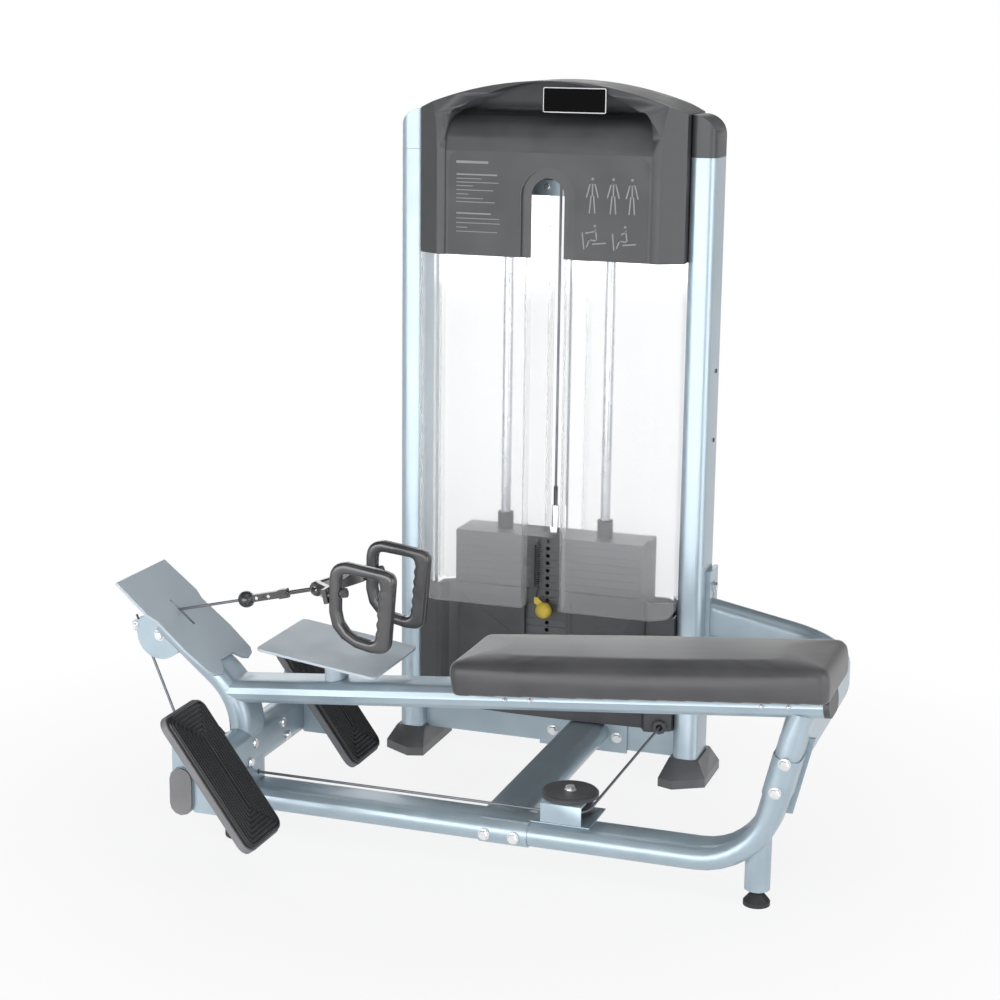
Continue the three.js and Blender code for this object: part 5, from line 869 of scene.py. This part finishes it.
# %% [markdown]
# ## The foot treads
# Each foot plate carries a rubber tread with fine ridges that run round it like the lanes
# of a racetrack. A texture would look flat at its rim, so the ridges are real. A repeat zone
# draws one lane after another: it takes a rounded rectangle, moves it in by one pitch, gives
# it a round profile and adds it to the ones before.

# %% The lane tree
LANE_SIZES = ("Length", "Width", "Corner", "First", "Pitch", "Ridge radius")
LEAST_CORNER = 0.004
CORNER_STEPS = 6
RIDGE_SIDES = 8


def one_lane(tree, given, inset):
    """A ridge round a rounded rectangle that lies inside the tread's rim by the inset."""
    both_sides = calc(tree, "MULTIPLY", inset, 2)
    corner = calc(tree, "MAXIMUM", calc(tree, "SUBTRACT", given["Corner"], inset), LEAST_CORNER)
    lane = new_node(tree, "GeometryNodeCurvePrimitiveQuadrilateral", {
        "Width": calc(tree, "SUBTRACT", given["Length"], both_sides),
        "Height": calc(tree, "SUBTRACT", given["Width"], both_sides),
    })
    sources = {"Curve": lane.outputs["Curve"], "Radius": corner, "Count": CORNER_STEPS}
    fillet = new_node(tree, "GeometryNodeFilletCurve", sources, mode="POLY")
    sources = {"Resolution": RIDGE_SIDES, "Radius": given["Ridge radius"]}
    section = new_node(tree, "GeometryNodeCurvePrimitiveCircle", sources)
    sources = {"Curve": fillet.outputs["Curve"], "Profile Curve": section.outputs["Curve"]}
    return new_node(tree, "GeometryNodeCurveToMesh", sources).outputs["Mesh"]


def lane_tree():
    tree, given = begin_tree("tread_lanes", LANE_SIZES, "Lanes")
    start = tree.nodes.new("GeometryNodeRepeatInput")
    end = tree.nodes.new("GeometryNodeRepeatOutput")
    start.pair_with_output(end)
    end.repeat_items.clear()
    end.repeat_items.new("GEOMETRY", "Lanes")
    end.repeat_items.new("FLOAT", "Inset")
    feed(tree, start, {"Iterations": given["Lanes"], "Inset": given["First"]})
    inset = start.outputs["Inset"]
    joined = new_node(tree, "GeometryNodeJoinGeometry", {0: start.outputs["Lanes"]})
    feed(tree, joined, {0: one_lane(tree, given, inset)})
    step = calc(tree, "ADD", inset, given["Pitch"])
    feed(tree, end, {"Lanes": joined.outputs[0], "Inset": step})
    return end_tree(tree, end.outputs["Lanes"], given["Material"])


LANES = lane_tree()
print(LANES.name, len(LANES.nodes), "nodes")

# %% [markdown]
# The tread's body is a plate with a soft rim, drawn flat. The arc and the rectangle with
# round corners that it needs come again on the placard and the name plate.

# %% The tread's body
TREAD_LONG, TREAD_WIDE, TREAD_THICK, TREAD_CORNER = 307.4, 145.0, 11.0, 22.0
RIM_SOFT = 1.2
RIM_STEPS = 2


def fan(cx, cy, radius, start, end, steps):
    """Points on an arc, between two angles in degrees."""
    angles = [math.radians(start + (end - start) * k / steps) for k in range(steps + 1)]
    return [(cx + radius * math.cos(a), cy + radius * math.sin(a)) for a in angles]


def soft_box(x0, x1, y0, y1, r, steps):
    """A rectangle with round corners."""
    middles = ((x1 - r, y1 - r), (x0 + r, y1 - r), (x0 + r, y0 + r), (x1 - r, y0 + r))
    arcs = [fan(*spot, r, 90 * k, 90 * k + 90, steps) for k, spot in enumerate(middles)]
    return sum(arcs, [])


def prism(bm, outline, low, high, edge):
    """Adds a plate from an outline in its own plane, between two heights, with a soft rim."""
    bottom = bm.faces.new([bm.verts.new((x, y, low)) for x, y in outline])
    made = bmesh.ops.extrude_face_region(bm, geom=[bottom])
    top = [g for g in made["geom"] if isinstance(g, bmesh.types.BMVert)]
    bmesh.ops.translate(bm, verts=top, vec=(0, 0, high - low))
    bmesh.ops.recalc_face_normals(bm, faces=bm.faces)
    rims = [e for e in bm.edges if abs(e.verts[0].co.z - e.verts[1].co.z) < MERGE]
    bmesh.ops.bevel(bm, geom=rims, offset=edge, segments=RIM_STEPS, affect="EDGES", profile=0.5)


# %% [markdown]
# The ridges lie on the body with their tops flush with the solid's face, so the tread keeps
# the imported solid's height. Body and ridges are made once at zero, then copied onto both
# foot plates and turned to their slope.

# %% Both treads
RIDGE = 2.6
LANE_PITCH = 8.6
LANE_COUNT = 8
RIM_FLAT = 2.4
PEDAL_MIDDLE = 157.7
PEDAL_Y = 264.5
TREAD_SHARP = math.radians(50)


def flat_tread():
    lanes = run_tree(
        "lanes",
        points_mesh("seed", [(Vector((0, 0, 0)), TO_TOP)]),
        LANES,
        Length=TREAD_LONG * MM,
        Width=TREAD_WIDE * MM,
        Corner=TREAD_CORNER * MM,
        First=(RIDGE + RIM_FLAT) * MM,
        Pitch=LANE_PITCH * MM,
        Ridge_radius=RIDGE * MM,
        Lanes=LANE_COUNT,
        Material=TREAD,
    )
    x, y, corner = TREAD_LONG / 2 * MM, TREAD_WIDE / 2 * MM, TREAD_CORNER * MM
    outline = soft_box(-x, x, -y, y, corner, CORNER_STEPS)
    ridges = lanes.data.copy()
    ridges.transform(Matrix.Translation((0, 0, -RIDGE * MM)))
    bpy.data.objects.remove(lanes)
    mesh = bpy.data.meshes.new("tread")
    with open_mesh(mesh) as bm:
        prism(bm, outline, -TREAD_THICK * MM, -RIDGE * MM, RIM_SOFT * MM)
        bm.from_mesh(ridges)
    return mesh


def make_treads():
    flat = flat_tread()
    mesh = bpy.data.meshes.new("treads")
    with open_mesh(mesh) as bm:
        for y in (-PEDAL_Y, PEDAL_Y):
            copy = flat.copy()
            copy.transform(Matrix.Translation((PEDAL_MIDDLE * MM, 0, 0)))
            copy.transform(Matrix.Rotation(PEDAL_TURN, 4, "Y"))
            copy.transform(Matrix.Translation(at(PEDAL_TOP_X, y, PEDAL_TOP_Z)))
            bm.from_mesh(copy)
    obj = smooth(new_object("foot_treads", mesh, TREAD), TREAD_SHARP)
    return keep(obj, "frame", "rubber", "near_foot_tread", "far_foot_tread")


treads = make_treads()
print("treads", len(treads.data.polygons), "faces")

# %% [markdown]
# ## The seat
# The pad is foam on a board under one tight vinyl cover. It is crowned along its middle,
# its sides draw in a little between the corners, and only its base is flat. A copy of the
# solid is drawn in, made of even small faces, blown up as cloth, and held to a few
# millimetres of movement, which gives the tight, slightly uneven skin of a real pad. The
# cover is stiff and the pressure low: a softer cover would pucker at the corners.

# %% Even faces and relaxing
RELAX = 0.5


def even_mesh(obj, voxel):
    remesh = obj.modifiers.new("even", "REMESH")
    remesh.mode = "VOXEL"
    remesh.voxel_size = voxel
    return settle(obj)


def relax(obj, times):
    """Moves every point towards the middle of its neighbours."""
    axes = {"use_axis_" + axis: True for axis in "xyz"}
    for _ in range(times):
        with open_mesh(obj.data) as bm:
            bmesh.ops.smooth_vert(bm, verts=bm.verts, factor=RELAX, **axes)


def swell(mesh, by):
    """Moves every point out along its normal, or in by a negative amount."""
    with open_mesh(mesh) as bm:
        bm.normal_update()
        for v in bm.verts:
            v.co += v.normal * by


# %% [markdown]
# The cover is blown up for a few frames with the base held. Its threads hardly stretch, so
# most of the movement goes into a soft crown between the edges. No draw of chance is in it,
# and it comes out alike each run.

# %% The cover as cloth
PRESSURE = 1.5
STRETCH_STIFF = 60
FOLD_STIFF = 12
CLOTH_STEPS = 4
CLOTH_FRAMES = 20
BASE_BAND = 0.006


def base_points(mesh):
    """The points that lie on the board: the lowest ones across each centimetre of length."""
    lowest = {}
    for v in mesh.vertices:
        key = round(v.co.x, 2)
        lowest[key] = min(lowest.get(key, math.inf), v.co.z)
    return [v.index for v in mesh.vertices if v.co.z < lowest[round(v.co.x, 2)] + BASE_BAND]


def blow_up(obj):
    scene = bpy.context.scene
    obj.vertex_groups.new(name="base").add(base_points(obj.data), 1.0, "REPLACE")
    cloth = obj.modifiers.new("cloth", "CLOTH")
    fabric = cloth.settings
    fabric.quality = CLOTH_STEPS
    fabric.use_pressure = True
    fabric.uniform_pressure_force = PRESSURE
    fabric.tension_stiffness = fabric.compression_stiffness = STRETCH_STIFF
    fabric.bending_stiffness = FOLD_STIFF
    fabric.effector_weights.gravity = 0
    fabric.vertex_group_mass = "base"
    cloth.point_cache.frame_start = 1
    cloth.point_cache.frame_end = CLOTH_FRAMES
    for number in range(1, CLOTH_FRAMES + 1):
        scene.frame_set(number)
    settle(obj)
    scene.frame_set(1)


# %% Cushion
PAD_VOXEL = 0.005
PAD_DRAWN_IN = 0.0012
PAD_MOST = 0.005
PAD_RELAX = 2


def hold_back(mesh, rest):
    """Keeps each point within the most that the cover may move."""
    for v, start in zip(mesh.vertices, rest):
        step = v.co - start
        if step.length > PAD_MOST:
            v.co = start + step * (PAD_MOST / step.length)


def cushion(node):
    obj = new_object(node + "_cover", merged_copy(node), VINYL)
    swell(obj.data, -PAD_DRAWN_IN)
    even_mesh(obj, PAD_VOXEL)
    relax(obj, PAD_RELAX)
    rest = [v.co.copy() for v in obj.data.vertices]
    blow_up(obj)
    hold_back(obj.data, rest)
    subdivide = obj.modifiers.new("fine", "SUBSURF")
    subdivide.levels = subdivide.render_levels = 1
    settle(obj)
    obj.data.shade_smooth()
    return obj


pad = cushion("seat_pad")
keep(pad, "frame", "leatherette", "seat_pad")
print("pad", len(pad.data.polygons), "faces")

# %% [markdown]
# ## The hand grips
# Each D handle is one soft moulding. The solid has flats where the hand would feel a round
# section, so its copy is made of even small faces and relaxed until the flats turn round.
# The finger waves on the inside of the grip are wide enough to live through that. Relaxing
# thins the bar a little, so the points move out again at the end.

# %% Handles
GRIP_VOXEL = 0.0016
GRIP_RELAX = 14
GRIP_PLUMP = 0.0011


def soft_grip(node):
    obj = new_object(node + "_soft", merged_copy(node), GRIP)
    even_mesh(obj, GRIP_VOXEL)
    relax(obj, GRIP_RELAX)
    swell(obj.data, GRIP_PLUMP)
    obj.data.shade_smooth()
    return keep(obj, BODY_OF[node], SLOT_OF[node], node)


for node in ("near_handle", "far_handle"):
    print(node, len(soft_grip(node).data.polygons), "faces")

# %% [markdown]
# ## Cables
# The cable is coated wire rope. Two of its runs change length: the one up to the stack and
# the one out to the handles. Each is drawn as a plain tube between its two ends at rest.

# %% A round tube along points
TUBE_SHARP = math.radians(60)


def tube(name, points, radius, material, sides=4):
    curve = bpy.data.curves.new(name, "CURVE")
    curve.dimensions = "3D"
    curve.bevel_depth = radius
    curve.bevel_resolution = sides
    curve.use_fill_caps = True
    line = curve.splines.new("POLY")
    line.points.add(len(points) - 1)
    for spot, place in zip(line.points, points):
        spot.co = (*place, 1)
    obj = link_new(name, curve)
    mesh = evaluated(obj)
    bpy.data.objects.remove(obj)
    with open_mesh(mesh) as bm:
        bmesh.ops.remove_doubles(bm, verts=bm.verts, dist=MERGE)
        bmesh.ops.recalc_face_normals(bm, faces=bm.faces)
    return smooth(new_object(name, mesh, material), TUBE_SHARP)


def between(a, b, steps):
    return [a.lerp(b, k / steps) for k in range(steps + 1)]


# %% The two runs
CABLE_RADIUS = 3 * MM
STACK_RUN_STEPS = 24
PULL_RUN_STEPS = 16
STACK_RUN_Y, STACK_RUN_TOP, STACK_RUN_END = 668, 1435.7, 654.3
PULLEY_LEAVE = at(-667.66, 0, 460.72)
PULLEY_GAP = 0.3
PULL_END_GAP = 17
stack_top, stack_end = at(0, STACK_RUN_Y, STACK_RUN_TOP), at(0, STACK_RUN_Y, STACK_RUN_END)
pull_from = PULLEY_LEAVE + PULL_WAY * PULLEY_GAP * MM
pull_to = BALL - PULL_WAY * PULL_END_GAP * MM

stack_run = tube("stack_run", between(stack_top, stack_end, STACK_RUN_STEPS), CABLE_RADIUS, CABLE)
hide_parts("stack_cable")
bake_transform(stack_run)

pull_run = tube("pull_run", between(pull_from, pull_to, PULL_RUN_STEPS), CABLE_RADIUS, CABLE)
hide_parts("handle_cable")
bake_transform(pull_run)
print("runs", round((stack_top - stack_end).length, 3), round((pull_from - pull_to).length, 3), "m")

# %% [markdown]
# ## The pin's lanyard
# A thin coiled cord hangs from the head plate to the pin's knob, so the pin isn't lost. It
# is the same route as the solid's, with more steps to each turn.

# %% Lanyard
CURL = dict(x=-22, y=603, top=533.1, bottom=405.1, radius=5, turns=18, pitch=5.4, lead=5, steps=20)
CORD_RADIUS = 1.3
CORD_SIDES = 2


def lanyard_route():
    x, y, radius, steps = (CURL[key] for key in ("x", "y", "radius", "steps"))
    high = CURL["top"] - CURL["lead"]
    route = [at(x, y, CURL["top"])]
    for k in range(CURL["turns"] * steps + 1):
        turn = 2 * math.pi * k / steps
        place = (x + radius * math.cos(turn), y + radius * math.sin(turn))
        route.append(at(*place, high - CURL["pitch"] * k / steps))
    low = high - CURL["turns"] * CURL["pitch"] - CURL["lead"]
    route.append(at(x, y, min(low, CURL["bottom"] + CURL["lead"])))
    route.append(at(x, y, CURL["bottom"]))
    return route


route = lanyard_route()
lanyard = tube("lanyard", route, CORD_RADIUS * MM, RUBBER, sides=CORD_SIDES)
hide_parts("pin_lanyard")
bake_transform(lanyard)

# %% [markdown]
# ## The instruction placard
# A satin film covers the recess on the front of the top shroud, cut out round the slot.
# Plain bars fill it at the left and simple stick figures at the right. All are thin plates
# with an outline of straight and round stretches, so they keep a crisp edge that a painted
# pattern would lose.

# %% Thin plates that face the front
def flat_mesh(name, outline, face_y, thick):
    mesh = bpy.data.meshes.new(name)
    count = len(outline)
    with open_mesh(mesh) as bm:
        front = [bm.verts.new(at(x, face_y - thick, z)) for x, z in outline]
        back = [bm.verts.new(at(x, face_y, z)) for x, z in outline]
        bm.faces.new(front)
        bm.faces.new(back[::-1])
        for i in range(count):
            j = (i + 1) % count
            bm.faces.new((front[j], front[i], back[i], back[j]))
        bmesh.ops.recalc_face_normals(bm, faces=bm.faces)
        bmesh.ops.triangulate(bm, faces=bm.faces)
    return mesh


def front_plate(name, outline, face_y, thick, material, slot="dark_plastic"):
    keep(new_object(name, flat_mesh(name, outline, face_y, thick), material), "frame", slot)
    print(name, len(outline), "points")


# %% [markdown]
# The film's outline goes up the left side, over the top with two round corners, down the
# right side, and back round the eye of the slot.

# %% Film
RECESS_FACE = 565
FILM_THICK = 0.5
FILM_HALF, FILM_BOTTOM, FILM_TOP = 228, 1186, 1411
FILM_CORNER = 24
SLOT_HALF, SLOT_EYE_Z = 62, 1320
ROUND_STEPS, SLOT_STEPS = 10, 24
corner_x, corner_z = FILM_HALF - FILM_CORNER, FILM_TOP - FILM_CORNER
film = [(-FILM_HALF, FILM_BOTTOM)]
film += fan(-corner_x, corner_z, FILM_CORNER, 180, 90, ROUND_STEPS)
film += fan(corner_x, corner_z, FILM_CORNER, 90, 0, ROUND_STEPS)
film += [(FILM_HALF, FILM_BOTTOM), (SLOT_HALF, FILM_BOTTOM)]
film += fan(0, SLOT_EYE_Z, SLOT_HALF, 0, 180, SLOT_STEPS)
film += [(-SLOT_HALF, FILM_BOTTOM)]
front_plate("placard", film, RECESS_FACE, FILM_THICK, FILM)

# %% Bars on the placard
PRINT_THICK = 0.12
END_STEPS = 6
MARGIN = -209


def strokes(name, lines, width):
    """Joins flat bars between points, with round ends, into one printed piece."""
    mesh = bpy.data.meshes.new(name)
    with open_mesh(mesh) as bm:
        for (x0, z0), (x1, z1) in lines:
            angle = math.degrees(math.atan2(z1 - z0, x1 - x0))
            outline = fan(x1, z1, width / 2, angle - 90, angle + 90, END_STEPS)
            outline += fan(x0, z0, width / 2, angle + 90, angle + 270, END_STEPS)
            bm.from_mesh(flat_mesh(name, outline, RECESS_FACE - FILM_THICK, PRINT_THICK))
    keep(new_object(name, mesh, PRINT), "frame", "dark_plastic")
    print(name, len(lines), "strokes")


def row(x0, x1, z):
    return ((x0, z), (x1, z))


strokes("print_heads", [row(-208, -138, 1388)], 5.5)
strokes("print_subheads", [row(-208, -116, 1361), row(-208, -130, 1276)], 3.2)
upper_rows = [(-152, 1352), (-112, 1344), (-172, 1336), (-124, 1327)]
upper_rows += [(-182, 1318), (-148, 1309), (-120, 1301)]
lower_rows = [(-110, 1265), (-108, 1255), (-184, 1245), (-114, 1236)]
strokes("print_rows", [row(MARGIN, end, z) for end, z in upper_rows + lower_rows], 1.7)


# %% Stick figures on the placard
HEAD_HALF, HEAD_RISE = 1.4, 2.5


def head(x, z):
    """Two short strokes, one above the other, read as a round head."""
    low = row(x - HEAD_HALF, x + HEAD_HALF, z)
    return [low, row(x - HEAD_HALF, x + HEAD_HALF, z + HEAD_RISE)]


def standing(x, z):
    trunk = [((x, z), (x, z - 26)), row(x - 5, x + 5, z)]
    arms = [((x - 5, z), (x - 13, z - 30)), ((x + 5, z), (x + 13, z - 30))]
    legs = [((x - 3, z - 28), (x - 6, z - 64)), ((x + 3, z - 28), (x + 6, z - 64))]
    return trunk + arms + legs + head(x, z + 8)


def seated(x, z, reach):
    trunk = [((x, z), (x + 3, z - 24))]
    leg = [((x + 3, z - 24), (x - 14, z - 22)), ((x - 14, z - 22), (x - 20, z - 38))]
    arm = [((x, z - 3), (x - reach, z - 8))]
    bench = [((x - 6, z - 31), (x + 22, z - 28)), ((x - 30, z - 8), (x - 26, z - 42))]
    return trunk + leg + arm + bench + head(x - 2, z + 7)


figures = standing(103, 1352) + standing(150, 1352) + standing(192, 1352)
figures += seated(112, 1252, reach=22) + seated(180, 1252, reach=10)
strokes("print_figures", figures, 3.0)

# %% [markdown]
# ## The name plate
# A small bare plate leans on the hood's edge: a black face with a pale rim. The face is a
# film on a pale plate and is smaller all round, so the plate shows as a thin bright line.

# %% Bare plate
PLATE_SIDES = (-12.5, 129, 1499.5, 1553)
RIM_WIDTH = 2
RIM_CORNER, FACE_CORNER = 4, 2.5
RIM_Y, RIM_THICK = 567, 1.6
FACE_Y, FACE_THICK = RIM_Y - RIM_THICK, 0.4
QUARTER_STEPS = 5
inner_sides = [side + step for side, step in zip(PLATE_SIDES, (RIM_WIDTH, -RIM_WIDTH) * 2)]
rim = soft_box(*PLATE_SIDES, RIM_CORNER, QUARTER_STEPS)
face = soft_box(*inner_sides, FACE_CORNER, QUARTER_STEPS)
front_plate("plate_rim", rim, RIM_Y, RIM_THICK, RIM)
front_plate("plate_face", face, FACE_Y, FACE_THICK, BADGE)

# %% [markdown]
# ## Cheeks of the heel pulley
# The pulley behind the slope plate runs between two round cheeks as large as itself, so the
# cable can't jump off. A short dark stop sticks out above them.

# %% Cheeks and stop
CHEEK_IN, CHEEK_OUT = 11.35, 16.25
CHEEK_RADIUS = 53
CHEEK_STEPS = 40
STOP_PLACE = at(-706, -12, 440)
STOP_WAY = Vector((-0.4, 0, 0.92))
cheek = fan(HEEL_X, HEEL_Z, CHEEK_RADIUS, 0, 360, CHEEK_STEPS)[:-1]
for name, back in (("near_cheek", -CHEEK_IN), ("far_cheek", CHEEK_OUT)):
    front_plate(name, cheek, back, CHEEK_OUT - CHEEK_IN, PAINT, slot="frame_paint")
bolts(
    "cable_stop", [(STOP_PLACE, STOP_WAY)],
    head=2.3, height=15, washer=2.4, chamfer=0.5, sides=14, material=DARK,
)
